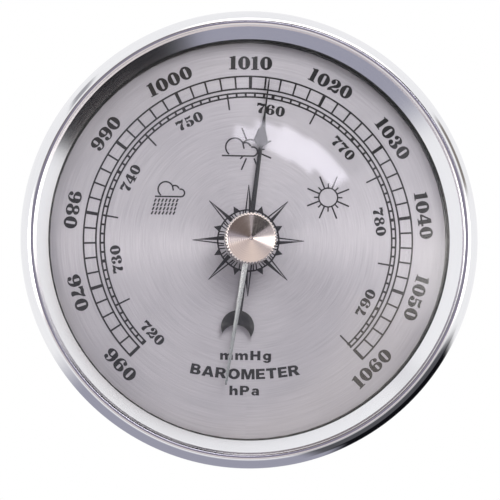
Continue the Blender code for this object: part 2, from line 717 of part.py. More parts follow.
def pressure_hand_outline():
    """Needle with a long spade, a hub and a crescent on its tail, from the tip round."""
    right = [
        (0.10, HAND_TIP), (0.215, HAND_TIP - 1.0), (0.25, 38.0), (0.33, 36.2), (0.65, 33.2),
        (1.15, 31.3), (1.65, 30.0), (1.9, 29.0), (1.85, 28.4), (1.5, 28.1), (0.55, 27.5), (0.74, 3.0),
    ]
    hub_half = math.degrees(math.asin(0.74 / 3.4))
    hub = arc_points(3.4, 90 - hub_half, -90 + hub_half, 11)
    centre, outer, inner = -25.3, 4.8, 4.4
    neck = math.degrees(math.asin(0.75 / outer))
    body = arc_points(outer, 90 - neck, -28.0, 9, (0, centre))
    hollow = arc_points(inner, 12.0, 90.0, 7, (0, centre - 3.9))
    right = right + hub[1:-1] + [(0.74, -3.3)] + body + hollow
    left = [(-x, y) for x, y in reversed(right[:-1])]
    return right + left


def pressure_hand(parent):
    """Black hand on a pressed hub. The parent empty lies on the dial's axis."""
    outlines = [pressure_hand_outline(), circle_points(1.5, count=SCREW_STEPS)]
    flat("pressure_hand", outlines, HAND_REAR, HAND_FRONT, BLACK, parent)
    profile = [
        (1.4, 31.0), (1.4, 29.5), (2.3, 29.5), (2.3, 28.9), (0.75, 28.9), (0.75, 31.0),
    ]
    turned("pressure_hand_hub", profile, BLACK, parent, closed=True, steps=SCREW_STEPS)
    ring("hairspring_collet", 0.85, 1.7, 19.5, 20.7, BRASS, parent, SCREW_STEPS)
    pinion_arbor(parent)


def set_hand(parent):
    """Silvered set hand, its hub and nut, and the knob with its spindle on the glass."""
    blade = [
        (0.25, SET_HAND_TIP), (0.85, 8.0), (1.0, 3.6),
    ]
    boss_half = math.degrees(math.asin(1.0 / 3.6))
    boss = arc_points(3.6, 90 - boss_half, -90, 12)
    right = blade + boss[1:]
    outline = right + [(-x, y) for x, y in reversed(right[:-1])]
    outlines = [outline, circle_points(2.3, count=SCREW_STEPS)]
    flat("set_hand", outlines, SET_HAND_REAR, SET_HAND_FRONT, SILVER_HAND, parent)
    ring("set_hand_hub", SPINDLE_R + 0.1, 2.2, 32.8, 34.0, BRASS, parent, SCREW_STEPS)
    hexagon = circle_points(2.9, count=6)
    bore = circle_points(SPINDLE_R + 0.1, count=SCREW_STEPS)
    flat("set_hand_nut", [hexagon, bore], 31.6, 32.5, BRASS, parent)
    profile = [(3.6, 34.5), (3.6, 34.3), (1.7, 34.7), (1.7, 34.9)]
    turned("spring_washer", profile, STEEL, parent, closed=True)
    disc("knob_spindle", SPINDLE_R, 31.4, 42.6, BRIGHT_STEEL, parent, SCREW_STEPS)
    knob(parent)


def knob(parent):
    """Serrated knob with a shallow conical face, a blind bore and a small centre dot."""
    profile = [
        (0.0, KNOB_FRONT), (1.0, KNOB_FRONT - 0.05), (1.3, KNOB_FRONT - 0.25), (6.6, KNOB_FRONT - 1.2),
        (KNOB_R, KNOB_FRONT - 2.0), (KNOB_R, KNOB_REAR + 0.6), (6.9, KNOB_REAR), (SPINDLE_R + 0.1, KNOB_REAR),
        (SPINDLE_R + 0.1, 42.8), (0.0, 42.8),
    ]
    body = turned("knob", profile, KNOB_METAL, parent, steps=KNOB_TEETH // 2)
    outline = []
    step = 2 * math.pi / KNOB_TEETH
    for k in range(KNOB_TEETH):
        for radius, share in ((KNOB_R, 0.25), (KNOB_R - 0.35, 0.75)):
            a = (k + share) * step
            outline.append((radius * math.cos(a), radius * math.sin(a)))
    outer = circle_points(KNOB_R + 2, count=32)
    groove = flat("knob_serrations", [outer, outline], KNOB_REAR - 1, KNOB_FRONT + 1, None, parent)
    cut(body, as_mesh(groove))


clear_scene()
PARTS = new_collection("aneroid_barometer")
CUTTERS = new_collection("cutters", hidden=True)
BENCH = empty("bench_frame", turn=(math.pi / 2, 0.0, 0.0))
HAND_AXIS = empty("pressure_hand_axis", BENCH, turn=(0.0, 0.0, -math.radians(HAND_REST_DEG)))
SET_HAND_AXIS = empty("set_hand_axis", BENCH, turn=(0.0, 0.0, -math.radians(SET_HAND_REST_DEG)))
SECTOR_AXIS = empty(
    "sector_axis",
    BENCH,
    at=(SECTOR_X, CRANK_REACH, 0.0),
    turn=(0.0, 0.0, -math.radians(SECTOR_REST_DEG)),
)
ROCKER_AXIS = empty(
    "rocker_axis",
    BENCH,
    at=(0.0, CRANK_REACH, SHAFT_HEIGHT),
    turn=(math.radians(HAND_REST_DEG * PINION_TEETH / SECTOR_TEETH * ROCKER_RATIO), 0.0, 0.0),
)
CAPSULE_AXIS = empty("capsule_axis", BENCH)
ADJUSTER_AXIS = empty("adjusting_screw_axis", BENCH, at=(ADJUSTER_X, 0.0, 0.0))

case_parts(BENCH)
plates_and_pillars(BENCH)
bridge(BENCH)
rocker_bracket(BENCH)
capsule(BENCH)
capsule_mounting(BENCH)
hairspring(BENCH)
capsule_post(CAPSULE_AXIS)
rocking_shaft(ROCKER_AXIS)
rocker_arm(ROCKER_AXIS)
sector(SECTOR_AXIS)
pressure_hand(HAND_AXIS)
set_hand(SET_HAND_AXIS)
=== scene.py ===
"""Looks of a round wall aneroid barometer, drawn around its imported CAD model.

Every shape is worked out in dial coordinates, in millimetres: x to the right
of the dial, y up the dial and d out of the wall towards the reader. Bearings
are degrees clockwise from the top of the dial. A point (x, y, d) stands at
(x, -d, y) / 1000 in the model's own metres.
"""

import json
import logging
import math
from collections.abc import Sequence
from dataclasses import dataclass, field, replace
from enum import Enum
from functools import reduce

import bmesh
import bpy
import numpy as np
from mathutils import Matrix, Vector


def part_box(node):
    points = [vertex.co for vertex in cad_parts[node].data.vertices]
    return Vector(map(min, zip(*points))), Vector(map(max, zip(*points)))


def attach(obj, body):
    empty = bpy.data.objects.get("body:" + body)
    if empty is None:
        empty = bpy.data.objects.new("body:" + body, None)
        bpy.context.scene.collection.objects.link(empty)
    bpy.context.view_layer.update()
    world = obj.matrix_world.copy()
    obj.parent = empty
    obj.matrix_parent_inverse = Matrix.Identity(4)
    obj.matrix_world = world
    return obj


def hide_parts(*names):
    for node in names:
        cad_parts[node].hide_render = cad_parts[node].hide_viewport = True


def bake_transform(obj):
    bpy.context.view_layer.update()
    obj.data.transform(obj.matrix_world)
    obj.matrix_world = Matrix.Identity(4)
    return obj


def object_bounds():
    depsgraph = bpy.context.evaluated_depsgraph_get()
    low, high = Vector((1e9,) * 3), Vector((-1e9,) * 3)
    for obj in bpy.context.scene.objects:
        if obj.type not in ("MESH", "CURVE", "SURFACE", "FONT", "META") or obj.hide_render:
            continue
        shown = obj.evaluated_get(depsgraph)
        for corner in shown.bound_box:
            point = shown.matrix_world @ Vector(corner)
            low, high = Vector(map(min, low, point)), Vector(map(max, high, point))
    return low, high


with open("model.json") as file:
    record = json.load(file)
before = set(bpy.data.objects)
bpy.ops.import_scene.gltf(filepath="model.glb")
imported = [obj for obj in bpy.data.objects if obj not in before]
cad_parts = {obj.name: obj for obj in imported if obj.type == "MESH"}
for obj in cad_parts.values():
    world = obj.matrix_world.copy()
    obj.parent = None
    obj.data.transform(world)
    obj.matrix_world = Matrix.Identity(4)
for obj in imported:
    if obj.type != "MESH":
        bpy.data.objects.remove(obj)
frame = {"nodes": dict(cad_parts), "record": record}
CAD_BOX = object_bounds()

LOG = logging.getLogger("barometer")
MM = 0.001
MERGE_M = 1e-7
SMOOTH_DEG = 32.0
FULL_TURN = 360.0
MARKS_SHARE, DRIFT_SHARE = 0.6, 0.4
DRIFTS_PER_METRE = 40.0
NOISE_LOW, NOISE_HIGH = 0.3, 0.7
HUNDREDTH_TURN = 2 * math.pi / 100
HPA_DEG, MMHG_DEG = 2.7, 3.6
HPA_TOP, MMHG_START = 1010, 720


@dataclass(frozen=True)
class Layer:
    """The depths between which a flat piece lies, in millimetres out of the wall.

    Attributes:
        rear: Depth of its rear side.
        front: Depth of the side that the reader sees.
    """

    rear: float
    front: float

    @classmethod
    def of_node(cls, node: str) -> "Layer":
        """The depths that a CAD node fills."""
        low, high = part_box(node)
        return cls(-high.y / MM, -low.y / MM)

    def above(self, gap: float, thickness: float) -> "Layer":
        """A thin layer that stands a gap in front of this one."""
        return Layer(self.front + gap, self.front + gap + thickness)


def node_radius(node: str) -> float:
    """Outer radius in millimetres of a round CAD node, half its width."""
    low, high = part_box(node)
    return (high.x - low.x) / 2 / MM


# --------------------------------------------------------------------- meshes


@dataclass(frozen=True)
class Facets:
    """A mesh held as whole arrays, in dial millimetres.

    Attributes:
        points: Corner positions, one row (x, y, d) each.
        corners: Corner numbers of the faces, face after face.
        sizes: How many corners each face has.
        finish: Which of the piece's finishes each face wears.
    """

    points: np.ndarray
    corners: np.ndarray
    sizes: np.ndarray
    finish: np.ndarray

    def shifted(self, x: float, y: float) -> "Facets":
        """The same mesh moved over the dial by (x, y)."""
        return replace(self, points=self.points + np.array([x, y, 0.0]))

    def turned(self, bearing: float) -> "Facets":
        """The same mesh turned clockwise about the dial's centre.

        A turn b takes (x, y) to (x cos b + y sin b, y cos b - x sin b).

        Args:
            bearing: The turn in degrees.

        Returns:
            The turned mesh.
        """
        cosine, sine = math.cos(math.radians(bearing)), math.sin(math.radians(bearing))
        turn = np.array([[cosine, -sine, 0.0], [sine, cosine, 0.0], [0.0, 0.0, 1.0]])
        return replace(self, points=self.points @ turn)

    def __add__(self, other: "Facets") -> "Facets":
        """Both meshes as one, the other's corner numbers counted on.

        Args:
            other: The mesh that comes second.

        Returns:
            The joined mesh.
        """
        return Facets(
            np.concatenate((self.points, other.points)),
            np.concatenate((self.corners, other.corners + len(self.points))),
            np.concatenate((self.sizes, other.sizes)),
            np.concatenate((self.finish, other.finish)),
        )


def together(parts: Sequence[Facets]) -> Facets:
    """All the meshes of a list as one."""
    return reduce(lambda first, second: first + second, parts)


def surface(
    grid: np.ndarray,
    round_rows: bool = False,
    round_columns: bool = False,
    finish: int | np.ndarray = 0,
) -> Facets:
    """A surface through a grid of points, with a four-sided face in each cell.

    Args:
        grid: Points, shaped (rows, columns, 3).
        round_rows: Whether the last row joins the first.
        round_columns: Whether the last column joins the first.
        finish: One finish number, or one for each row of cells.

    Returns:
        The surface.
    """
    rows, columns = grid.shape[:2]
    index = np.arange(rows * columns).reshape(rows, columns)
    row = np.arange(rows if round_rows else rows - 1)[:, None]
    column = np.arange(columns if round_columns else columns - 1)[None, :]
    below, beside = (row + 1) % rows, (column + 1) % columns
    cells = (index[row, column], index[row, beside], index[below, beside], index[below, column])
    corners = np.stack(cells, axis=-1)
    worn = np.broadcast_to(np.reshape(finish, (-1, 1)), corners.shape[:2])
    count = corners.shape[0] * corners.shape[1]
    return Facets(grid.reshape(-1, 3), corners.reshape(-1), np.full(count, 4), worn.reshape(-1))


def revolved(
    profile: np.ndarray, steps: int, closed: bool = False, finish: int | np.ndarray = 0
) -> Facets:
    """A profile carried once round the dial's axis.

    The point (r, d) of the profile goes to (r sin t, r cos t, d) for t from
    nothing to a full turn.

    Args:
        profile: Radii and depths, one row each.
        steps: Number of steps round the axis.
        closed: Whether the profile is a loop, and not open with its ends on the axis.
        finish: One finish number, or one for each segment of the profile.

    Returns:
        The turned surface.
    """
    angle = np.linspace(0.0, 2 * np.pi, steps, endpoint=False)
    radius, depth = profile[:, :1], profile[:, 1:]
    grid = np.stack(
        np.broadcast_arrays(radius * np.sin(angle), radius * np.cos(angle), depth), axis=-1
    )
    return surface(grid, round_rows=closed, round_columns=True, finish=finish)


def softened(
    loop: np.ndarray, reach: float | np.ndarray, steps: int = 4, closed: bool = True
) -> np.ndarray:
    """A polygon with each corner rounded by a quadratic curve.

    The curve leaves the corner's edges at a distance `reach` from the corner,
    or at 0.45 of a shorter edge, and is (1-t)^2 A + 2t(1-t) corner + t^2 B.

    Args:
        loop: Corners, one row each.
        reach: One distance, or one for each corner.
        steps: Number of steps of each rounding.
        closed: Whether the polygon is a loop. An open one keeps its two ends.

    Returns:
        The points of the rounded polygon.
    """
    ahead, behind = np.roll(loop, -1, axis=0) - loop, np.roll(loop, 1, axis=0) - loop
    reach = np.broadcast_to(reach, len(loop))[:, None]

    def start(edge: np.ndarray) -> np.ndarray:
        """How far along an edge its corner's curve begins."""
        length = np.linalg.norm(edge, axis=1, keepdims=True)
        return edge * np.minimum(reach / np.maximum(length, 1e-9), 0.45)

    t = np.linspace(0.0, 1.0, steps + 1)[None, :, None]
    first, middle, last = (p[:, None] for p in (loop + start(behind), loop, loop + start(ahead)))
    curve = (1 - t) ** 2 * first + 2 * t * (1 - t) * middle + t**2 * last
    if closed:
        return curve.reshape(-1, loop.shape[1])
    return np.concatenate((loop[:1], curve[1:-1].reshape(-1, loop.shape[1]), loop[-1:]))


def arc_boxes(
    inner: float | np.ndarray,
    outer: float | np.ndarray,
    start: float | np.ndarray,
    end: float | np.ndarray,
    layer: Layer,
    steps: int = 1,
) -> Facets:
    """Boxes bent round the dial's centre, worked out all at once.

    A corner stands at (r sin b, r cos b) for radius r and bearing b.

    Args:
        inner: Inner radius of each box.
        outer: Outer radius of each box.
        start: Bearing at which each box begins.
        end: Bearing at which each box ends.
        layer: Depths of the boxes.
        steps: Number of steps along each box.

    Returns:
        The closed boxes.
    """
    inner, outer, start, end = np.broadcast_arrays(*map(np.atleast_1d, (inner, outer, start, end)))
    bearing = np.radians(start[:, None] + (end - start)[:, None] * np.linspace(0, 1, steps + 1))
    radius = np.stack((inner, outer, outer, inner), axis=-1)[:, None, :]
    depth = np.array([layer.rear, layer.rear, layer.front, layer.front])
    bearing = bearing[:, :, None]
    points = np.stack(
        np.broadcast_arrays(radius * np.sin(bearing), radius * np.cos(bearing), depth), axis=-1
    )
    index = np.arange(len(inner) * (steps + 1) * 4).reshape(len(inner), steps + 1, 4)
    beside = np.roll(index, -1, axis=2)
    sides = np.stack((index[:, :-1], beside[:, :-1], beside[:, 1:], index[:, 1:]), axis=-1)
    corners = np.concatenate((sides.ravel(), index[:, 0].ravel(), index[:, -1].ravel()))
    count = len(corners) // 4
    return Facets(points.reshape(-1, 3), corners, np.full(count, 4), np.zeros(count, int))


def prisms(outlines: np.ndarray, layer: Layer) -> Facets:
    """Flat plates with straight sides, one for each outline.

    Args:
        outlines: Corners, shaped (plates, corners, 2), each plate's in order.
        layer: Depths of the plates.

    Returns:
        The closed plates.
    """
    plates, count = outlines.shape[:2]
    depths = np.array([layer.rear, layer.front]).reshape(1, 2, 1, 1)
    flat = np.broadcast_to(outlines[:, None], (plates, 2, count, 2))
    points = np.concatenate((flat, np.broadcast_to(depths, (plates, 2, count, 1))), axis=-1)
    index = np.arange(plates * 2 * count).reshape(plates, 2, count)
    rear, front = index[:, 0], index[:, 1]
    sides = np.stack((rear, np.roll(rear, -1, axis=1), np.roll(front, -1, axis=1), front), axis=-1)
    sizes = np.concatenate((np.full(plates * count, 4), np.full(plates * 2, count)))
    corners = np.concatenate((sides.ravel(), index.ravel()))
    return Facets(points.reshape(-1, 3), corners, sizes, np.zeros(len(sizes), int))


def strokes(
    start: np.ndarray, end: np.ndarray, layer: Layer, width: float, end_width: float | None = None
) -> Facets:
    """Straight pen strokes, each from a start to an end point.

    A stroke's corners lie half its width to either side of its line.

    Args:
        start: Start points, one row (x, y) each.
        end: End points, one row (x, y) each.
        layer: Depths of the strokes.
        width: Width at the start.
        end_width: Width at the end, or None for the same.

    Returns:
        The closed strokes.
    """
    start, end = np.atleast_2d(start), np.atleast_2d(end)
    along = end - start
    across = np.stack((-along[:, 1], along[:, 0]), axis=-1)
    across = across / np.linalg.norm(along, axis=1, keepdims=True) / 2
    tip = width if end_width is None else end_width
    sides = (start - across * width, start + across * width, end + across * tip, end - across * tip)
    return prisms(np.stack(sides, axis=1), layer)


def solid_from_curve(curve: bpy.types.Curve, layer: Layer) -> Facets:
    """The mesh of a thick flat curve or a text, read back as arrays.

    Args:
        curve: The curve or text, as thick as the layer and centred on its own plane.
        layer: Depths that it is moved to.

    Returns:
        Its mesh. The curve is thrown away.
    """
    holder = bpy.data.objects.new("outline", curve)
    mesh = holder.to_mesh()
    points = np.empty(len(mesh.vertices) * 3)
    corners = np.empty(len(mesh.loops), np.int32)
    sizes = np.empty(len(mesh.polygons), np.int32)
    mesh.vertices.foreach_get("co", points)
    mesh.loops.foreach_get("vertex_index", corners)
    mesh.polygons.foreach_get("loop_total", sizes)
    holder.to_mesh_clear()
    bpy.data.objects.remove(holder)
    bpy.data.curves.remove(curve)
    points = points.reshape(-1, 3)
    points[:, 2] += (layer.rear + layer.front) / 2
    return Facets(points, corners, sizes, np.zeros(len(sizes), int))


def cut_out(loops: Sequence[np.ndarray], layer: Layer, bevel: float = 0.0) -> Facets:
    """A flat plate cut to closed outlines, of which the inner ones are holes.

    Args:
        loops: Closed outlines, one row (x, y) for each point.
        layer: Depths of the plate.
        bevel: Width of the broken edge.

    Returns:
        The closed plate.
    """
    curve = bpy.data.curves.new("outline", "CURVE")
    curve.dimensions, curve.fill_mode = "2D", "BOTH"
    curve.extrude = (layer.front - layer.rear) / 2 - bevel
    curve.bevel_depth, curve.offset, curve.bevel_resolution = bevel, -bevel, 1
    for loop in loops:
        spline = curve.splines.new("POLY")
        spline.points.add(len(loop) - 1)
        rows = np.column_stack((loop, np.zeros(len(loop)), np.ones(len(loop))))
        spline.points.foreach_set("co", rows.ravel())
        spline.use_cyclic_u = True
    return solid_from_curve(curve, layer)


def make_piece(
    name: str,
    facets: Facets,
    finishes: Sequence["Finish"],
    body: str | None,
    replaces: Sequence[str] = (),
) -> bpy.types.Object:
    """Turns arrays into a finished piece with its place in its mesh.

    Doubles are merged first, which closes seams and poles, and then every
    face is turned outwards.

    Args:
        name: The piece's name.
        facets: Its mesh in dial millimetres.
        finishes: Its finishes, in the order of the faces' numbers.
        body: The CAD body that it rides on, or None to leave it on no body.
        replaces: CAD nodes that it stands for.

    Returns:
        The piece.
    """
    mesh = bpy.data.meshes.new(name)
    place = facets.points[:, [0, 2, 1]] * np.array([MM, -MM, MM])
    mesh.vertices.add(len(place))
    mesh.vertices.foreach_set("co", place.ravel())
    mesh.loops.add(len(facets.corners))
    mesh.loops.foreach_set("vertex_index", facets.corners.astype(np.int32))
    mesh.polygons.add(len(facets.sizes))
    starts = np.concatenate(([0], np.cumsum(facets.sizes)[:-1]))
    mesh.polygons.foreach_set("loop_start", starts.astype(np.int32))
    mesh.polygons.foreach_set("material_index", facets.finish.astype(np.int32))
    mesh.update(calc_edges=True)
    mesh.validate()
    work = bmesh.new()
    work.from_mesh(mesh)
    bmesh.ops.remove_doubles(work, verts=work.verts, dist=MERGE_M)
    bmesh.ops.recalc_face_normals(work, faces=work.faces)
    work.to_mesh(mesh)
    work.free()
    mesh.polygons.foreach_set("use_smooth", np.ones(len(mesh.polygons), bool))
    mesh.set_sharp_from_angle(angle=math.radians(SMOOTH_DEG))
    for finish in finishes:
        mesh.materials.append(finish.material())
    piece = bpy.data.objects.new(name, mesh)
    bpy.context.scene.collection.objects.link(piece)
    if body:
        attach(piece, body)
    if replaces:
        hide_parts(*replaces)
    LOG.info("%s: %d faces on %s", name, len(mesh.polygons), body)
    return piece


# ------------------------------------------------------------------- finishes


def linear(colour: str) -> tuple[float, float, float, float]:
    """Linear light of an sRGB hex colour, by the sRGB curve.

    Args:
        colour: The colour as "#RRGGBB".

    Returns:
        Red, green, blue and an alpha of one.
    """
    parts = (int(colour[i : i + 2], 16) / 255 for i in (1, 3, 5))
    light = [c / 12.92 if c <= 0.04045 else ((c + 0.055) / 1.055) ** 2.4 for c in parts]
    return light[0], light[1], light[2], 1.0


def add_node(
    tree: bpy.types.NodeTree,
    kind: str,
    settings: dict[str | int, object] | None = None,
    links: dict[str | int, bpy.types.NodeSocket] | None = None,
) -> bpy.types.Node:
    """Adds one node with its settings and links.

    Args:
        tree: The tree that gets the node.
        kind: Blender's name of the node's type.
        settings: Values by name or number of the input, or by the node's own property.
        links: Outputs of other nodes, by name or number of the input that each feeds.

    Returns:
        The node.
    """
    node = tree.nodes.new(kind)
    for name, value in (settings or {}).items():
        if isinstance(name, int) or name in node.inputs:
            node.inputs[name].default_value = value
        else:
            setattr(node, name, value)
    for name, socket in (links or {}).items():
        tree.links.new(socket, node.inputs[name])
    return node


def empty_tree(name: str) -> tuple[bpy.types.Material, bpy.types.NodeTree]:
    """A new material and its node tree with nothing in it.

    Args:
        name: The material's name.

    Returns:
        The material and its tree.
    """
    material = bpy.data.materials.new(name)
    material.use_nodes = True
    material.node_tree.nodes.clear()
    return material, material.node_tree


class Marks(Enum):
    """The way in which a surface was worked, which sets how its marks run."""

    TURNED = "rings about an axis that stands on the dial"
    STRAIGHT = "strokes or grain along the model's own axes"


@dataclass(frozen=True)
class Finish:
    """What a surface is made of and how it was worked.

    Attributes:
        name: The material's name.
        light: sRGB colour at the high places of the pattern.
        dark: sRGB colour at its low places.
        smooth: Lowest roughness.
        rough: Highest roughness.
        metallic: 1 for bare metal, 0 for paint and plastic, between for a silvered print.
        marks: How the marks run.
        size_mm: Size of one mark along x, y and d, or for turned marks across the
            rings, round them (in hundredths of a turn) and along the depth.
        relief_mm: Height of the marks.
        centre_mm: Where on the dial the axis of turned marks stands.
        coat: Weight of a clear coat.
        fan: How far turned marks spread a reflection across themselves, which
            makes the light stand in fans from the centre.
    """

    name: str
    light: str
    dark: str
    smooth: float
    rough: float
    metallic: float
    marks: Marks
    size_mm: tuple[float, float, float]
    relief_mm: float
    centre_mm: tuple[float, float] = (0.0, 0.0)
    coat: float = 0.0
    fan: float = 0.0

    def coordinates(self, tree: bpy.types.NodeTree) -> bpy.types.NodeSocket:
        """Where a point lies in the pattern, in marks.

        For turned marks that is (distance from the axis, bearing, depth), and
        otherwise the point itself, each divided by the size of a mark.

        Args:
            tree: The material's tree.

        Returns:
            The pattern's coordinates.
        """
        place = add_node(tree, "ShaderNodeTexCoord").outputs["Object"]
        size = self.size_mm
        if self.marks is Marks.STRAIGHT:
            scale = [1 / (size[0] * MM), 1 / (size[2] * MM), 1 / (size[1] * MM)]
            stretched = add_node(
                tree, "ShaderNodeVectorMath", {"operation": "MULTIPLY", 1: scale}, {0: place}
            )
            return stretched.outputs[0]
        centre = (self.centre_mm[0] * MM, 0.0, self.centre_mm[1] * MM)
        own = add_node(
            tree, "ShaderNodeVectorMath", {"operation": "SUBTRACT", 1: centre}, {0: place}
        )
        flat = add_node(
            tree,
            "ShaderNodeVectorMath",
            {"operation": "MULTIPLY", 1: (1.0, 0.0, 1.0)},
            {0: own.outputs[0]},
        )
        distance = add_node(
            tree, "ShaderNodeVectorMath", {"operation": "LENGTH"}, {0: flat.outputs[0]}
        )
        axes = add_node(tree, "ShaderNodeSeparateXYZ", None, {0: own.outputs[0]})
        bearing = add_node(
            tree,
            "ShaderNodeMath",
            {"operation": "ARCTAN2"},
            {0: axes.outputs["X"], 1: axes.outputs["Z"]},
        )
        polar = add_node(
            tree,
            "ShaderNodeCombineXYZ",
            None,
            {0: distance.outputs["Value"], 1: bearing.outputs[0], 2: axes.outputs["Y"]},
        )
        scale = [1 / (size[0] * MM), 1 / (size[1] * HUNDREDTH_TURN), 1 / (size[2] * MM)]
        return add_node(
            tree, "ShaderNodeVectorMath", {"operation": "MULTIPLY", 1: scale}, {0: polar.outputs[0]}
        ).outputs[0]

    def material(self) -> bpy.types.Material:
        """The finish as a material, made once.

        One noise draws the marks. They change the colour and the roughness a
        little and stand up by the relief. A second, coarse one lets the tone
        drift over a few centimetres, as handled and weathered surfaces do.

        Returns:
            The material.
        """
        found = bpy.data.materials.get(self.name)
        if found is not None:
            return found
        material, tree = empty_tree(self.name)
        marks = add_node(
            tree,
            "ShaderNodeTexNoise",
            {"Scale": 1.0, "Detail": 3.0, "Roughness": 0.6},
            {"Vector": self.coordinates(tree)},
        ).outputs[0]
        place = add_node(tree, "ShaderNodeTexCoord").outputs["Object"]
        drift = add_node(
            tree,
            "ShaderNodeTexNoise",
            {"Scale": DRIFTS_PER_METRE, "Detail": 2.0},
            {"Vector": place},
        ).outputs[0]
        fine = add_node(
            tree, "ShaderNodeMath", {"operation": "MULTIPLY", 1: MARKS_SHARE}, {0: marks}
        ).outputs[0]
        blend = add_node(
            tree,
            "ShaderNodeMath",
            {"operation": "MULTIPLY_ADD", 1: DRIFT_SHARE, "use_clamp": True},
            {0: drift, 2: fine},
        )
        colour = add_node(
            tree,
            "ShaderNodeMix",
            {"data_type": "RGBA", 6: linear(self.dark), 7: linear(self.light)},
            {0: blend.outputs[0]},
        )
        roughness = add_node(
            tree,
            "ShaderNodeMapRange",
            {"From Min": NOISE_LOW, "From Max": NOISE_HIGH,
             "To Min": self.smooth, "To Max": self.rough},
            {"Value": blend.outputs[0]},
        )
        bump = add_node(
            tree, "ShaderNodeBump", {"Distance": self.relief_mm * MM}, {"Height": marks}
        )
        settings = {"Metallic": self.metallic, "Coat Weight": self.coat}
        links = {
            "Base Color": colour.outputs[2],
            "Roughness": roughness.outputs[0],
            "Normal": bump.outputs[0],
        }
        if self.fan:
            round_axis = {"direction_type": "RADIAL", "axis": "Y"}
            links["Tangent"] = add_node(tree, "ShaderNodeTangent", round_axis).outputs[0]
            settings |= {"Anisotropic": self.fan, "Anisotropic Rotation": 0.25}
        shader = add_node(tree, "ShaderNodeBsdfPrincipled", settings, links)
        add_node(tree, "ShaderNodeOutputMaterial", None, {"Surface": shader.outputs[0]})
        return material


@dataclass(frozen=True)
class ClearGlass:
    """Slumped soda-lime glass, clear and faintly wavy, which bends what lies behind it.

    Attributes:
        name: The material's name.
        ior: Refractive index of soda-lime glass.
        wave_mm: Distance between the slow waves that slumping leaves.
        relief_mm: Their height.
    """

    name: str = "slumped soda-lime glass"
    ior: float = 1.5
    wave_mm: float = 30.0
    relief_mm: float = 0.01

    def material(self) -> bpy.types.Material:
        """Glass for the eye and clear air for the lamps, so that the dial is lit.

        Returns:
            The material.
        """
        found = bpy.data.materials.get(self.name)
        if found is not None:
            return found
        material, tree = empty_tree(self.name)
        place = add_node(tree, "ShaderNodeTexCoord").outputs["Object"]
        wave = add_node(
            tree, "ShaderNodeTexNoise", {"Scale": 1 / (self.wave_mm * MM)}, {"Vector": place}
        )
        bump = add_node(
            tree, "ShaderNodeBump", {"Distance": self.relief_mm * MM}, {"Height": wave.outputs[0]}
        )
        glass = add_node(
            tree,
            "ShaderNodeBsdfPrincipled",
            {
                "Base Color": linear("#FBFDFC"),
                "Roughness": 0.0,
                "IOR": self.ior,
                "Transmission Weight": 1.0,
            },
            {"Normal": bump.outputs[0]},
        )
        clear = add_node(tree, "ShaderNodeBsdfTransparent")
        ray = add_node(tree, "ShaderNodeLightPath")
        mix = add_node(
            tree,
            "ShaderNodeMixShader",
            None,
            {0: ray.outputs["Is Shadow Ray"], 1: glass.outputs[0], 2: clear.outputs[0]},
        )
        add_node(tree, "ShaderNodeOutputMaterial", None, {"Surface": mix.outputs[0]})
        return material


# Chromium plate polished to a mirror: almost no marks, a cool white tint.
POLISHED_CHROME = Finish(
    "polished chromium plate", "#F2F2F4", "#E4E4E8", 0.05, 0.10, 1.0,
    Marks.TURNED, (0.6, 6.0, 0.6), 0.0003,
)
# The bezel's funnel is brushed round before plating: fine rings blur what it mirrors.
BRUSHED_CHROME = Finish(
    "brushed chromium plate", "#F6F6F8", "#E2E2E8", 0.12, 0.22, 1.0,
    Marks.TURNED, (0.10, 5.0, 0.10), 0.0012,
)
# Rolled steel of the drum, drawn round: soft satin lines along the wall.
SATIN_STEEL = Finish(
    "satin drawn steel", "#D2D3D6", "#AEB0B4", 0.26, 0.42, 1.0,
    Marks.TURNED, (0.25, 8.0, 0.25), 0.0015,
)
# Flat sheet of the rear cover with a straight mill grain.
MILLED_SHEET = Finish(
    "mill-grain steel sheet", "#CDCED2", "#A6A8AC", 0.30, 0.46, 1.0,
    Marks.STRAIGHT, (40.0, 0.30, 2.0), 0.0015,
)
# Silvered aluminium with a fine circular brushing, whose rings throw soft fans to
# both sides. Real brushing is near 0.05 mm, drawn here at 0.36 mm so that it shows.
SILVERED_DIAL = Finish(
    "brushed silvered aluminium", "#D6D1D7", "#948F98", 0.30, 0.38, 0.6,
    Marks.TURNED, (0.36, 6.0, 2.0), 0.0045, fan=0.9,
)
# Pad-printed ink: near black, slightly uneven in tone and gloss.
PRINTING_INK = Finish(
    "pad printing ink", "#1A181B", "#0E0D0F", 0.38, 0.55, 0.0,
    Marks.STRAIGHT, (0.15, 0.15, 0.15), 0.0004,
)
# Stoved black lacquer on the pressure hand: deep black with a fine orange peel.
BLACK_LACQUER = Finish(
    "stoved black lacquer", "#161517", "#0A0A0B", 0.24, 0.36, 0.0,
    Marks.STRAIGHT, (0.30, 0.30, 0.30), 0.0010, coat=0.3,
)
# Bare aluminium of the set hand, burnished along its length.
BURNISHED_ALUMINIUM = Finish(
    "burnished aluminium", "#B6B6B9", "#86868A", 0.22, 0.34, 1.0,
    Marks.STRAIGHT, (0.12, 6.0, 0.12), 0.0006,
)
# The knob's face is cut with a diamond: crisp rings throw light in fans.
DIAMOND_TURNED = Finish(
    "diamond-turned aluminium", "#EDE4E0", "#D5CBC8", 0.09, 0.13, 1.0,
    Marks.TURNED, (0.22, 30.0, 0.22), 0.0006, fan=0.5,
)
# Cast brass, satin finished with an even fine grain that has begun to dull.
SATIN_BRASS = Finish(
    "satin brass", "#D9B36A", "#B08A48", 0.28, 0.42, 1.0,
    Marks.STRAIGHT, (0.40, 0.40, 0.40), 0.0020,
)
# Bright turned steel of screws and pins: rings about each one's own axis.
BRIGHT_STEEL = Finish(
    "bright turned steel", "#D8D8DA", "#B4B4B8", 0.18, 0.30, 1.0,
    Marks.TURNED, (0.20, 12.0, 0.20), 0.0015,
)
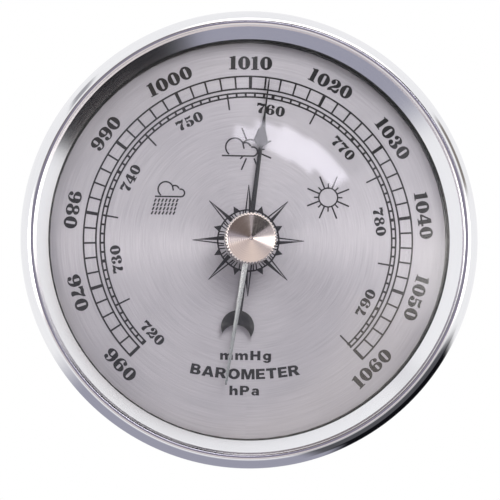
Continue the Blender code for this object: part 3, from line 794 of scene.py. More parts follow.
# Tempered spring steel, blued: dark slate with a straw cast in its low places.
BLUED_STEEL = Finish(
    "blued spring steel", "#5B6070", "#4A4640", 0.24, 0.36, 1.0,
    Marks.STRAIGHT, (0.50, 0.50, 0.50), 0.0010,
)
# Moulded nylon: milky, waxy, with a faint mould texture.
WHITE_NYLON = Finish(
    "moulded white nylon", "#E6E4DC", "#D8D5CB", 0.42, 0.56, 0.0,
    Marks.STRAIGHT, (0.40, 0.40, 0.40), 0.0030,
)
# Extruded nitrile rubber: dull black with a dusty bloom.
NITRILE_RUBBER = Finish(
    "extruded nitrile rubber", "#2A2A2B", "#161617", 0.62, 0.80, 0.0,
    Marks.TURNED, (0.30, 3.0, 0.30), 0.0050,
)
DOME_GLASS = ClearGlass()

SLOT_FINISHES = {
    "bezel_metal": POLISHED_CHROME,
    "case_metal": MILLED_SHEET,
    "glass": DOME_GLASS,
    "gasket_rubber": NITRILE_RUBBER,
    "white_nylon": WHITE_NYLON,
    "silvered_dial": SILVERED_DIAL,
    "black_hand": BLACK_LACQUER,
    "silver_hand": BURNISHED_ALUMINIUM,
    "knob_metal": DIAMOND_TURNED,
    "brass": SATIN_BRASS,
    "bright_steel": BRIGHT_STEEL,
    "spring_steel": BLUED_STEEL,
}


# ---------------------------------------------------------------- the housing


@dataclass
class Bezel:
    """The ring that holds the glass: a brushed funnel, a fine step and a polished bead.

    Attributes:
        opening: Radius of the opening.
        lip_rear: Depth of the lip's rear edge.
        lip_front: Depth of its front edge, where the funnel starts.
        funnel_top: Radius and depth at which the funnel ends.
        crest: Radius of the bead's inner foot.
        bore: Radius of the bore that slips over the case.
        steps: Steps round the axis.
        box: Depths of the CAD node, which it keeps to.
        radius: Outer radius of the CAD node.
    """

    opening: float = 58.0
    lip_rear: float = 34.9
    lip_front: float = 35.8
    funnel_top: tuple[float, float] = (61.4, 38.7)
    crest: float = 62.0
    bore: float = 60.9
    steps: int = 240
    box: Layer = field(default_factory=lambda: Layer.of_node("bezel"))
    radius: float = field(default_factory=lambda: node_radius("bezel"))

    def bead(self) -> np.ndarray:
        """The bead's section: an ellipse quarter from its crest down to the rim.

        A point is (a + A cos t, b + B sin t) for t from 102 to 4 degrees.

        Returns:
            Radii and depths, one row each.
        """
        angle = np.radians(np.linspace(102.0, 4.0, 26))
        wide, high = 3.3, 3.4
        centre = np.array([self.radius - wide, self.box.front - high])
        return centre + np.stack((wide * np.cos(angle), high * np.sin(angle)), axis=-1)

    def build(self) -> None:
        """Makes the bezel: its finish changes from brushed to polished at the step."""
        bead = self.bead()
        step = np.array([self.crest - 0.05, self.funnel_top[1] + 0.08])
        funnel = np.linspace((self.opening, self.lip_front), self.funnel_top, 8)
        rear = np.array([
            (self.radius, 33.2), (64.8, 29.8), (62.3, self.box.rear),
            (self.bore, self.box.rear), (self.bore, self.lip_rear), (self.opening, self.lip_rear),
        ])
        rear = softened(np.vstack((bead[-1:], rear, funnel[:1])), 0.35, 3, closed=False)
        profile = np.vstack((funnel, step, bead, rear[1:-1]))
        finish = np.ones(len(profile), int)
        finish[: len(funnel)] = 0
        facets = revolved(profile, self.steps, closed=True, finish=finish)
        make_piece("bezel_ring", facets, (BRUSHED_CHROME, POLISHED_CHROME), "case",
                   ("bezel",))


@dataclass
class DomedGlass:
    """The shallow dome over the dial, with the hole for the set hand's spindle.

    Attributes:
        edge: Depth of the front face at the rim.
        thick: Thickness of the glass.
        hole: Radius of the hole.
        rings: Rings across the dome.
        steps: Steps round the axis.
        box: Depths of the CAD node, which it keeps to.
        radius: Outer radius of the CAD node.
    """

    edge: float = 34.4
    thick: float = 2.0
    hole: float = 2.8
    rings: int = 26
    steps: int = 200
    box: Layer = field(default_factory=lambda: Layer.of_node("glass"))
    radius: float = field(default_factory=lambda: node_radius("glass"))

    def face(self) -> np.ndarray:
        """The front face's section.

        A sphere of radius R that rises by s from the rim at e has
        R = (e^2 + s^2) / 2s, and stands at apex - R + sqrt(R^2 - r^2).

        Returns:
            Radii and depths, from the hole to the rim.
        """
        apex = self.box.front
        rise = apex - self.edge
        sphere = (self.radius**2 + rise**2) / (2 * rise)
        radius = np.linspace(self.hole, self.radius, self.rings)
        return np.stack((radius, apex - sphere + np.sqrt(sphere**2 - radius**2)), axis=-1)

    def build(self) -> None:
        """Makes the dome as a closed shell with both faces on one curve."""
        front = self.face()
        front[:, 1] -= max(front[:, 1].max() - self.box.front, 0.0)
        rear = front[::-1] - np.array([0.0, self.thick])
        facets = revolved(np.vstack((front, rear)), self.steps, closed=True)
        make_piece("domed_glass", facets, (DOME_GLASS,), "case", ("glass",))


@dataclass
class CaseDrum:
    """The drum behind the bezel, a tube with a rolled rear edge and a shallow bead.

    Attributes:
        bore: Inner radius.
        swage: Depths of the pressed bead round the wall.
        steps: Steps round the axis.
        box: Depths of the CAD node, which it keeps to.
        radius: Outer radius of the CAD node.
    """

    bore: float = 59.5
    swage: tuple[float, float] = (9.0, 12.0)
    steps: int = 200
    box: Layer = field(default_factory=lambda: Layer.of_node("case_shell"))
    radius: float = field(default_factory=lambda: node_radius("case_shell"))

    def build(self) -> None:
        """Makes the drum: the wall dips by half a sine between the swage's depths."""
        low, high = self.swage
        t = np.linspace(0.0, 1.0, 13)
        dip = np.stack((self.radius - 0.35 * np.sin(np.pi * t), low + (high - low) * t), axis=-1)
        corners = np.array([
            (self.bore, self.box.front), (self.bore, self.box.rear),
            (self.radius, self.box.rear), (self.radius, low),
        ])
        last = np.array([(self.radius, high), (self.radius, self.box.front)])
        rim = softened(np.vstack((corners, last[1:])), 0.3, 4)
        order = rim[:, 1] < low + 1e-6
        outer = rim[(rim[:, 0] > self.bore + 0.5) & order]
        inner = rim[(rim[:, 0] <= self.bore + 0.5)]
        top = rim[(rim[:, 0] > self.bore + 0.5) & ~order]
        profile = np.vstack((inner, outer, dip[1:], top))
        facets = revolved(profile, self.steps, closed=True)
        make_piece("case_drum", facets, (SATIN_STEEL,), "case", ("case_shell",))


@dataclass
class AneroidCapsule:
    """The capsule: two corrugated diaphragms soldered at the rim, with open bosses.

    Attributes:
        boss: Radius of the hole in each boss.
        rim: Half the width of the soldered rim.
        trough: Depth of the corrugations.
        sheet: Thickness of the sheet.
        waves: Radii of the corrugations' first trough, crest and last trough.
        steps: Steps round the axis.
        box: Depths of the CAD node, which it keeps to.
        radius: Outer radius of the CAD node.
    """

    boss: float = 1.9
    rim: float = 0.7
    trough: float = 0.8
    sheet: float = 0.4
    waves: tuple[float, float, float] = (6.0, 11.0, 15.5)
    steps: int = 96
    box: Layer = field(default_factory=lambda: Layer.of_node("capsule"))
    radius: float = field(default_factory=lambda: node_radius("capsule"))

    def build(self) -> None:
        """Makes the capsule, which in the instrument breathes between the case and its front post;
        here it rides on no body and its mesh is baked where it stands.
        """
        middle, half = (self.box.rear + self.box.front) / 2, (self.box.front - self.box.rear) / 2
        low, crest, last = self.waves
        outer = np.array([
            (self.boss, half), (low, half - self.trough), (crest, half),
            (last, half - self.trough), (self.radius, self.rim),
        ])
        inner = outer - np.array([0.0, self.sheet])
        inner[-1] = (self.radius - 1.2, 0.4)
        outer, inner = (softened(line, 1.6, 6, closed=False) for line in (outer, inner))
        mirror = np.array([1.0, -1.0])
        halves = (outer, outer[::-1] * mirror, inner * mirror, inner[::-1])
        profile = np.vstack(halves) + np.array([0.0, middle])
        piece = make_piece("corrugated_capsule", revolved(profile, self.steps, closed=True),
                           (SATIN_BRASS,), None, ("capsule",))
        ends = ((0.0, -depth * MM, 0.0) for depth in (self.box.rear, self.box.front))
        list(ends)
        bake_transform(piece)


# ------------------------------------------------------------- the dial print


def oval(
    x: float,
    y: float,
    wide: float,
    high: float,
    start: float = 0.0,
    end: float = FULL_TURN,
    power: float = 2.0,
    count: int = 28,
) -> np.ndarray:
    """Points on an ellipse, or on a squarer oval where the power is above 2.

    At the angle t a point is (x + W |cos t|^(2/p), y + H |sin t|^(2/p)), with
    the signs of the cosine and the sine, for t anticlockwise from the right.

    Args:
        x: The centre's place across.
        y: The centre's height.
        wide: Half the width W.
        high: Half the height H.
        start: Angle of the first point.
        end: Angle of the last point, left out where the oval is whole.
        power: The power p.
        count: Number of points.

    Returns:
        The points, one row (x, y) each.
    """
    whole = abs(end - start) >= FULL_TURN
    angle = np.radians(np.linspace(start, end, count, endpoint=not whole))
    cosine, sine = np.cos(angle), np.sin(angle)
    across = x + wide * np.sign(cosine) * np.abs(cosine) ** (2 / power)
    up = y + high * np.sign(sine) * np.abs(sine) ** (2 / power)
    return np.stack((across, up), axis=-1)


Shape = list[np.ndarray]


def crescent(
    outer: tuple[float, float, float, float],
    inner: tuple[float, float, float, float],
    start: float,
    end: float,
) -> Shape:
    """The part between two ovals from one angle to another, as one closed outline.

    Args:
        outer: Centre and two radii of the outer oval.
        inner: The same for the inner one.
        start: First angle in degrees.
        end: Last angle in degrees.

    Returns:
        The outline.
    """
    return [np.vstack((oval(*outer, start, end), oval(*inner, end, start)))]


def ball(x: float, y: float, radius: float) -> Shape:
    """The round ball in which a stroke ends, as one closed outline."""
    return [oval(x, y, radius, radius)]


@dataclass(frozen=True)
class FatNumerals:
    """Fat-faced figures: round bowls with slot counters, ball ends and slab feet.

    Attributes:
        cap: Height of a figure in millimetres.
        gap: Space between two figures as a share of the height.
    """

    cap: float
    gap: float = 0.07

    @staticmethod
    def figure(sign: str) -> tuple[list[Shape], float]:
        """The outlines of one figure one unit high, and its width.

        Args:
            sign: A figure from 0 to 9.

        Returns:
            Its plates, each as its closed outlines, and its width.
        """
        if sign == "0":
            return [[oval(0.45, 0.5, 0.45, 0.5), oval(0.45, 0.5, 0.095, 0.34, power=5)]], 0.9
        if sign == "1":
            stem = [(0.02, 0.84), (0.02, 0.93), (0.2, 0.95), (0.3, 1.0), (0.46, 1.0), (0.46, 0.08),
                    (0.58, 0.07), (0.58, 0.0), (0.0, 0.0), (0.0, 0.07), (0.12, 0.08), (0.12, 0.84)]
            return [[np.array(stem)]], 0.58
        if sign == "2":
            top = crescent((0.42, 0.70, 0.38, 0.30), (0.36, 0.72, 0.12, 0.2), 165, -40)
            slope = [(0.44, 0.60), (0.78, 0.55), (0.62, 0.42), (0.24, 0.24), (0.02, 0.16),
                     (0.1, 0.3)]
            foot = [(0.0, 0.0), (0.0, 0.2), (0.2, 0.26), (0.42, 0.2), (0.6, 0.22), (0.7, 0.42),
                    (0.82, 0.42), (0.8, 0.12), (0.66, 0.0), (0.46, 0.02), (0.3, 0.1), (0.1, 0.0)]
            return [top, [np.array(slope)], [np.array(foot)], ball(0.2, 0.72, 0.17)], 0.82
        if sign == "3":
            top = crescent((0.40, 0.75, 0.35, 0.25), (0.35, 0.75, 0.11, 0.17), 145, -85)
            low = crescent((0.40, 0.28, 0.42, 0.28), (0.35, 0.28, 0.12, 0.19), 95, -150)
            return [top, low, ball(0.18, 0.77, 0.15), ball(0.17, 0.24, 0.17)], 0.82
        if sign == "4":
            body = [(0.42, 1.0), (0.72, 1.0), (0.72, 0.38), (0.88, 0.38), (0.88, 0.22),
                    (0.72, 0.22), (0.72, 0.08), (0.84, 0.07), (0.84, 0.0), (0.3, 0.0),
                    (0.3, 0.07), (0.42, 0.08), (0.42, 0.22), (0.0, 0.22), (0.0, 0.36)]
            return [[np.array(body), np.array([(0.42, 0.36), (0.16, 0.36), (0.42, 0.76)])]], 0.88
        if sign == "5":
            flag = [(0.12, 1.0), (0.3, 0.95), (0.5, 0.95), (0.72, 1.0), (0.72, 0.86), (0.6, 0.76),
                    (0.3, 0.76), (0.2, 0.8), (0.22, 0.56), (0.12, 0.5)]
            bowl = crescent((0.40, 0.31, 0.42, 0.31), (0.35, 0.30, 0.12, 0.22), 140, -150)
            return [[np.array(flag)], bowl, ball(0.17, 0.22, 0.17)], 0.82
        if sign == "7":
            bar = [(0.0, 1.0), (0.12, 0.96), (0.3, 1.0), (0.52, 0.93), (0.68, 0.96), (0.8, 1.0),
                   (0.8, 0.88), (0.6, 0.56), (0.54, 0.28), (0.58, 0.04), (0.4, -0.01), (0.22, 0.05),
                   (0.2, 0.24), (0.34, 0.5), (0.6, 0.74), (0.44, 0.68), (0.24, 0.76), (0.1, 0.7),
                   (0.06, 0.64), (0.0, 0.64)]
            return [[softened(np.array(bar), 0.05)]], 0.8
        if sign == "8":
            top = [oval(0.42, 0.75, 0.35, 0.25), oval(0.42, 0.76, 0.1, 0.13, power=3)]
            low = [oval(0.43, 0.28, 0.43, 0.28), oval(0.43, 0.27, 0.11, 0.17, power=3)]
            return [top, low], 0.86
        bowl = [oval(0.44, 0.31, 0.44, 0.31), oval(0.45, 0.31, 0.1, 0.19, power=4)]
        back = crescent((0.46, 0.5, 0.46, 0.5), (0.5, 0.52, 0.23, 0.4), 60, 200)
        shapes, width = [bowl, back, ball(0.67, 0.79, 0.15)], 0.88
        if sign == "9":
            over = np.array([width, 1.0])
            shapes = [[over - loop for loop in shape] for shape in shapes]
        return shapes, width

    def word(self, text: str, layer: Layer) -> Facets:
        """A number with its foot on y = 0, centred on x = 0.

        Args:
            text: The figures.
            layer: Depths of the print.

        Returns:
            The number's mesh.
        """
        parts, across = [], 0.0
        for sign in text:
            shapes, width = self.figure(sign)
            for shape in shapes:
                loops = [(loop + np.array([across, 0.0])) * self.cap for loop in shape]
                parts.append(cut_out(loops, layer))
            across += width + self.gap
        return together(parts).shifted(-(across - self.gap) * self.cap / 2, 0.0)


@dataclass(frozen=True)
class Lettering:
    """A line of heavy, wide, plain letters.

    Attributes:
        text: What it says.
        cap: Height of a capital.
        width: Width of the whole line.
        foot: Height of its foot above the dial's centre, below it where negative.
        bend: Radius of the arc that it stands on, or 0 for a straight line.
        stretch: How much wider than drawn each letter is.
    """

    text: str
    cap: float
    width: float
    foot: float
    bend: float = 0.0
    stretch: float = 1.15

    @staticmethod
    def letter(sign: str) -> tuple[list[Shape], float]:
        """The outlines of one letter whose capital is one unit high, and its width.

        Args:
            sign: The letter.

        Returns:
            Its plates, each as its closed outlines, and its width.
        """
        plain = {
            "E": ([(0, 0), (0.78, 0), (0.78, 0.22), (0.29, 0.22), (0.29, 0.4), (0.72, 0.4),
                   (0.72, 0.6), (0.29, 0.6), (0.29, 0.78), (0.78, 0.78), (0.78, 1), (0, 1)], 0.78),
            "T": ([(0.3, 0), (0.6, 0), (0.6, 0.77), (0.9, 0.77), (0.9, 1), (0, 1), (0, 0.77),
                   (0.3, 0.77)], 0.9),
            "H": ([(0, 0), (0.29, 0), (0.29, 0.39), (0.65, 0.39), (0.65, 0), (0.94, 0), (0.94, 1),
                   (0.65, 1), (0.65, 0.62), (0.29, 0.62), (0.29, 1), (0, 1)], 0.94),
            "M": ([(0, 0), (0.26, 0), (0.26, 0.62), (0.45, 0), (0.69, 0), (0.88, 0.62), (0.88, 0),
                   (1.14, 0), (1.14, 1), (0.76, 1), (0.57, 0.38), (0.38, 1), (0, 1)], 1.14),
            "m": ([(0, 0), (0.26, 0), (0.26, 0.42), (0.36, 0.53), (0.46, 0.42), (0.46, 0),
                   (0.72, 0), (0.72, 0.42), (0.82, 0.53), (0.92, 0.42), (0.92, 0), (1.18, 0),
                   (1.18, 0.5), (1.12, 0.68), (0.96, 0.75), (0.8, 0.7), (0.68, 0.61),
                   (0.6, 0.71), (0.48, 0.75), (0.34, 0.7), (0.24, 0.6), (0.24, 0.73),
                   (0, 0.73)], 1.18),
            "h": ([(0, 0), (0.27, 0), (0.27, 0.42), (0.38, 0.53), (0.49, 0.42), (0.49, 0),
                   (0.76, 0), (0.76, 0.5), (0.7, 0.68), (0.53, 0.75), (0.38, 0.7), (0.27, 0.61),
                   (0.27, 1), (0, 1)], 0.76),
        }
        if sign in plain:
            outline, width = plain[sign]
            return [[np.array(outline, float)]], width
        if sign == "A":
            body = [(0, 0), (0.3, 0), (0.35, 0.17), (0.69, 0.17), (0.74, 0), (1.04, 0), (0.68, 1),
                    (0.36, 1)]
            hole = [(0.42, 0.38), (0.62, 0.38), (0.52, 0.72)]
            return [[np.array(body, float), np.array(hole)]], 1.04
        if sign == "O":
            return [[oval(0.52, 0.5, 0.52, 0.52), oval(0.52, 0.5, 0.22, 0.28)]], 1.04
        if sign == "B":
            lobes = (oval(0.5, 0.29, 0.38, 0.29, -90, 50), oval(0.48, 0.75, 0.34, 0.25, -40, 90))
            right = np.vstack(lobes)
            holes = [oval(0.42, 0.29, 0.14, 0.1, power=4), oval(0.41, 0.72, 0.13, 0.09, power=4)]
            return [[np.vstack(([(0, 0)], right, [(0, 1)])), *holes]], 0.88
        if sign == "P":
            right = oval(0.5, 0.67, 0.36, 0.33, -90, 90)
            body = np.vstack(([(0, 0), (0.29, 0), (0.29, 0.34)], right, [(0, 1)]))
            return [[body, oval(0.43, 0.68, 0.15, 0.12, power=4)]], 0.86
        if sign == "R":
            right = oval(0.52, 0.70, 0.36, 0.30, -60, 90)
            body = np.vstack(([(0, 0), (0.29, 0), (0.29, 0.36), (0.4, 0.36), (0.62, 0), (0.96, 0)],
                              right, [(0, 1)]))
            return [[body, oval(0.43, 0.69, 0.15, 0.11, power=4)]], 0.96
        if sign == "g":
            bowl = [oval(0.36, 0.38, 0.36, 0.37), oval(0.38, 0.38, 0.12, 0.16)]
            stem = [(0.5, 0.73), (0.77, 0.73), (0.77, 0.04), (0.7, -0.16), (0.52, -0.27),
                    (0.28, -0.27), (0.08, -0.2), (0.04, -0.06), (0.28, -0.05), (0.4, -0.1),
                    (0.5, -0.02)]
            return [bowl, [np.array(stem)]], 0.77
        bowl = [oval(0.26, 0.22, 0.26, 0.23), oval(0.33, 0.21, 0.11, 0.08)]
        stem = [(0.44, 0), (0.74, 0), (0.7, 0.12), (0.7, 0.5), (0.62, 0.7), (0.38, 0.76),
                (0.12, 0.7), (0.04, 0.52), (0.29, 0.5), (0.36, 0.57), (0.44, 0.51), (0.44, 0.38)]
        return [bowl, [np.array(stem)]], 0.74

    def facets(self, layer: Layer, middle: float) -> Facets:
        """The line as a mesh, its letters spaced to fill the line's width.

        On an arc of radius R a point (x, y) goes to
        ((R - y) sin(x/R), R - (R - y) cos(x/R)).

        Args:
            layer: Depths of the print.
            middle: Where the line is centred across the dial.

        Returns:
            The line's mesh.
        """
        letters = [self.letter(sign) for sign in self.text]
        size = np.array([self.cap * self.stretch, self.cap])
        solid = sum(width for _, width in letters) * size[0]
        gap = (self.width - solid) / (len(letters) - 1)
        parts, across = [], -self.width / 2
        for shapes, width in letters:
            place = np.array([across, 0.0])
            parts += [cut_out([loop * size + place for loop in shape], layer) for shape in shapes]
            across += width * size[0] + gap
        flat = together(parts)
        points = flat.points.copy()
        if self.bend:
            reach, angle = self.bend - points[:, 1], points[:, 0] / self.bend
            points[:, 0] = reach * np.sin(angle)
            points[:, 1] = self.bend - reach * np.cos(angle)
        return replace(flat, points=points).shifted(middle, self.foot)


@dataclass
class DialPrint:
    """All that is printed on the dial: two scales, numbers, words and weather signs.

    Attributes:
        layer: Depths of the ink.
        half_sweep: Bearing at which the scales end.
        line: Width of the scales' lines.
    """

    layer: Layer = field(default_factory=lambda: Layer.of_node("dial_plate").above(0.005, 0.03))
    half_sweep: float = 135.0
    line: float = 0.50

    def ladder(
        self,
        inner: float,
        outer: float,
        marks: np.ndarray,
        widths: np.ndarray,
    ) -> Facets:
        """Two arcs with rungs between them.

        A rung's width w at the mean radius r is an angle of w / r.

        Args:
            inner: Middle radius of the inner arc.
            outer: Middle radius of the outer arc.
            marks: Bearing of each rung.
            widths: Width of each rung.

        Returns:
            The ladder.
        """
        half = self.line / 2
        ends = np.degrees(widths[[0, -1]].max() / 2 / outer)
        start, end = marks.min() - ends, marks.max() + ends
        arcs = arc_boxes(
            np.array([inner, outer]) - half, np.array([inner, outer]) + half,
            start, end, self.layer, 216,
        )
        turn = np.degrees(widths / 2 / ((inner + outer) / 2))
        rungs = arc_boxes(inner + half, outer - half, marks - turn, marks + turn, self.layer)
        return arcs + rungs

    def pressure_bearing(self, value: float | np.ndarray) -> float | np.ndarray:
        """Bearing of a reading in hPa, evenly spaced about the top of the dial."""
        return (value - HPA_TOP) * HPA_DEG

    def mercury_bearing(self, value: float | np.ndarray) -> float | np.ndarray:
        """Bearing of a reading in mmHg, evenly spaced from the start of the sweep."""
        return (value - MMHG_START) * MMHG_DEG - self.half_sweep

    def pressure_scale(self) -> None:
        """The outer ladder, a rung for every two units and a thick one for every ten."""
        values = np.arange(960, 1061, 2)
        thick = np.where(values % 10 == 0, 0.95, 0.52)
        marks = self.pressure_bearing(values)
        self.piece("outer_scale", self.ladder(44.2, 47.8, marks, thick))

    def mercury_scale(self) -> None:
        """The inner ladder, a rung for every unit, with long ticks at the fives."""
        values = np.arange(720, 796)
        marks = self.mercury_bearing(values)
        widths = np.where(values % 10 == 0, 0.95, 0.6)
        ladder = self.ladder(41.8, 42.95, marks, widths)
        long = marks[values % 10 == 5]
        turn = np.degrees(0.24 / 40.0)
        ticks = arc_boxes(38.3, 41.8 - self.line / 2, long - turn, long + turn, self.layer)
        self.piece("inner_scale", ladder + ticks)

    def numbers(self) -> None:
        """The numbers of both scales, straight and level with their own mark.

        Those low on the dial stand on their heads, so that a reader sees them upright.
        """
        large, small = FatNumerals(3.95), FatNumerals(3.05)
        rows = (
            (large, range(960, 1061, 10), 49.7, self.pressure_bearing, (960, 970, 980, 1060)),
            (small, range(720, 791, 10), 37.1, self.mercury_bearing, (720, 790)),
        )
        for name, (face, values, foot, bearing, turned) in zip(("outer", "inner"), rows):
            words = []
            for value in values:
                word = face.word(str(value), self.layer)
                if value in turned:
                    word = word.turned(180.0).shifted(0.0, face.cap)
                words.append(word.shifted(0.0, foot).turned(bearing(value)))
            self.piece(f"{name}_numbers", together(words))

    def words(self) -> None:
        """The two units and the instrument's kind, low on the dial."""
        lines = (
            ("mercury_unit", Lettering("mmHg", 2.7, 14.8, -34.7), -0.3),
            ("instrument_word", Lettering("BAROMETER", 3.0, 32.3, -40.3, 82.0), -0.4),
            ("pressure_unit", Lettering("hPa", 2.73, 8.7, -44.9), -0.5),
        )
        for name, line, middle in lines:
            self.piece(name, line.facets(self.layer, middle))

    def sun(self, long: np.ndarray, short: np.ndarray, start: float, end: float) -> Facets:
        """A sun about the origin: part of a ring with long and short rays.

        Args:
            long: Bearings of the long rays.
            short: Bearings of the short rays.
            start: Bearing at which the ring starts.
            end: Bearing at which it ends.

        Returns:
            The sun in pen strokes.
        """
        ring = arc_boxes(2.53, 2.97, start, end, self.layer, 48)
        parts = [ring]
        for bearings, tip, width in ((long, 6.6, 0.46), (short, 4.15, 0.42)):
            angle = np.radians(bearings)
            way = np.stack((np.sin(angle), np.cos(angle)), axis=-1)
            parts.append(strokes(way * 2.9, way * tip, self.layer, width))
        return together(parts)

    def cloud(self, scale: float) -> Facets:
        """A cloud of three lobes on a flat foot, about the big lobe's centre.

        Args:
            scale: Size against a cloud whose big lobe has a radius of 2.2 mm.

        Returns:
            The cloud's outline in pen strokes.
        """
        half = 0.23
        lobes = (
            (0.0, 0.0, 2.2, 218.0, 422.0), (2.64, -0.11, 1.25, -38.0, 72.0),
            (4.4, -1.0, 1.1, -22.0, 180.0),
        )
        parts = [
            arc_boxes(r * scale - half, r * scale + half, start, end, self.layer, 28)
            .shifted(x * scale, y * scale)
            for x, y, r, start, end in lobes
        ]
        start = np.array([(-3.1, -2.1), (1.95, 0.95)]) * scale
        end = np.array([(4.5, -2.1), (2.25, -0.35)]) * scale
        return together(parts + [strokes(start, end, self.layer, 2 * half)])

    def weather(self) -> None:
        """Rain at the left, changing weather at the top and fair weather at the right."""
        rays = np.arange(8) * 45.0
        fair = self.sun(rays + 22.5, rays, 0.0, FULL_TURN).shifted(23.1, 12.9)
        self.piece("fair_sign", fair)
        part_sun = self.sun(
            np.array([-22.5, 22.5, 67.5, 112.5, 157.5, 202.5]),
            np.array([45.0, 90.0, 135.0, 225.0]), -50.0, 118.0,
        ).shifted(0.22, 26.6)
        self.piece("change_sign", part_sun + self.cloud(1.2).shifted(-4.3, 27.1))
        column, row = np.meshgrid(np.arange(7), np.arange(4))
        top = np.stack((-2.7 + 1.06 * column - 0.30 * row, -2.75 - 1.22 * row), axis=-1)
        top = top.reshape(-1, 2)
        rain = strokes(top, top + np.array([-0.50, -0.92]), self.layer, 0.46)
        self.piece("rain_sign", (self.cloud(1.0) + rain).shifted(-24.2, 14.5))

    def rose(self) -> None:
        """The compass rose: a ring, eight long half-black spikes and eight thorns."""
        turns = np.arange(8) * 45.0
        ring = arc_boxes(8.65, 9.12, 0.0, FULL_TURN, self.layer, 96)
        base, tip, foot = 1.3, 16.2, 7.0
        black = prisms(np.array([[(0.0, tip), (base, foot), (0.0, foot)]]), self.layer)
        edge = strokes(
            np.array([(-0.8 * base, foot)]), np.array([(-0.05, tip)]), self.layer, 0.46, 0.26
        )
        thorn = prisms(np.array([[(-0.3, 10.8), (1.0, 8.9), (-1.0, 8.9)]]), self.layer)
        hatch = strokes(
            np.array([(-1.9, 8.7), (-0.9, 8.9), (0.9, 8.9), (1.9, 8.7)]),
            np.array([(-1.2, 7.0), (-0.4, 7.0), (0.4, 7.0), (1.2, 7.0)]),
            self.layer, 0.42, 0.3,
        )
        spikes = [part.turned(turn) for turn in turns for part in (black, edge)]
        thorns = [part.turned(turn + 22.5) for turn in turns for part in (thorn, hatch)]
        self.piece("compass_rose", together([ring, *spikes, *thorns]))

    def piece(self, name: str, facets: Facets) -> None:
        """Makes one printed piece, which stays with the case."""
        make_piece(name, facets, (PRINTING_INK,), "case")

    def build(self) -> None:
        """Prints everything."""
        self.pressure_scale()
        self.mercury_scale()
        self.numbers()
        self.words()
        self.weather()
        self.rose()


# ------------------------------------------------------------- hands and knob


@dataclass
class PressureHand:
    """The black hand: a needle with a long spade and a crescent on its tail.

    Attributes:
        bearing: Where it points at rest.
        tip: Distance of its tip from the pivot.
        layer: Depths of the blade.
    """

    bearing: float = 6.5
    tip: float = 47.4
    layer: Layer = field(default_factory=lambda: Layer.of_node("pressure_hand"))

    def outline(self) -> np.ndarray:
        """The blade's outline from the tip down its right side and back up its left.

        Returns:
            The outline's points.
        """
        spade = np.array([
            (0.10, self.tip), (0.215, self.tip - 1.0), (0.25, 38.0), (0.33, 36.2), (0.65, 33.2),
            (1.15, 31.3), (1.65, 30.0), (1.9, 29.0), (1.85, 28.4), (1.5, 28.1), (0.55, 27.5),
            (0.74, 3.2),
        ])
        spade = softened(spade, 0.5, 4, closed=False)
        hub = oval(0.0, 0.0, 3.4, 3.4, 76.0, -76.0, count=24)
        back, hollow = -25.3, -29.2
        body = oval(0.0, back, 4.8, 4.8, 81.0, -28.0, count=26)
        horn = oval(0.0, hollow, 4.4, 4.4, 12.0, 90.0, count=18)
        right = np.vstack((spade, hub, [(0.74, -3.3)], body, horn))
        left = right[-2::-1] * np.array([-1.0, 1.0])
        return np.vstack((right, left))

    def build(self) -> None:
        """Makes the blade with a slightly broken edge."""
        hole = oval(0.0, 0.0, 1.5, 1.5)
        blade = cut_out([self.outline(), hole], self.layer, bevel=0.05)
        make_piece("pressure_hand_blade", blade.turned(self.bearing), (BLACK_LACQUER,),
                   "pressure_hand", ("pressure_hand",))


@dataclass
class SetHand:
    """The silvered set hand, a tapered blade with a ridge down its middle.

    Attributes:
        bearing: Where it points at rest.
        tip: Distance of its tip from the pivot.
        root: Half width at the boss.
        end: Half width at the tip.
        layer: Depths of the blade.
    """

    bearing: float = 188.4
    tip: float = 42.5
    root: float = 0.86
    end: float = 0.34
    layer: Layer = field(default_factory=lambda: Layer.of_node("set_hand"))

    def blade(self) -> Facets:
        """The blade as a section with a ridge, carried from the boss to the tip.

        The half width falls evenly along the blade and closes over its last
        half millimetre as a quarter ellipse.

        Returns:
            The closed blade.
        """
        along = np.concatenate((np.linspace(3.0, self.tip - 0.5, 12),
                                self.tip - 0.5 + 0.5 * np.sin(np.linspace(0.2, np.pi / 2, 6))))
        even = self.root + (self.end - self.root) * (along - 3.0) / (self.tip - 3.0)
        left = np.clip((self.tip - along) / 0.5, 0.0, 1.0)
        half = even * np.sqrt(1 - (1 - left) ** 2)
        half[0] = 0.0
        edge = self.layer.rear + 0.5 * (self.layer.front - self.layer.rear)
        across = np.array([-1.0, -1.0, 0.0, 1.0, 1.0])
        depth = np.array([self.layer.rear, edge, self.layer.front, edge, self.layer.rear])
        flat = np.where(half[:, None] > 0, depth, edge)
        grid = np.stack(
            np.broadcast_arrays(half[:, None] * across, along[:, None], flat), axis=-1
        )
        return surface(grid, round_columns=True)

    def build(self) -> None:
        """Makes the blade and its boss, which clips to the hub."""
        profile = np.array([
            (2.3, self.layer.rear), (3.6, self.layer.rear), (3.6, self.layer.front),
            (2.3, self.layer.front),
        ])
        boss = revolved(softened(profile, 0.12, 3), 64, closed=True)
        blade = self.blade().turned(self.bearing)
        make_piece("set_hand_blade", blade + boss, (BURNISHED_ALUMINIUM,), "set_hand",
                   ("set_hand",))


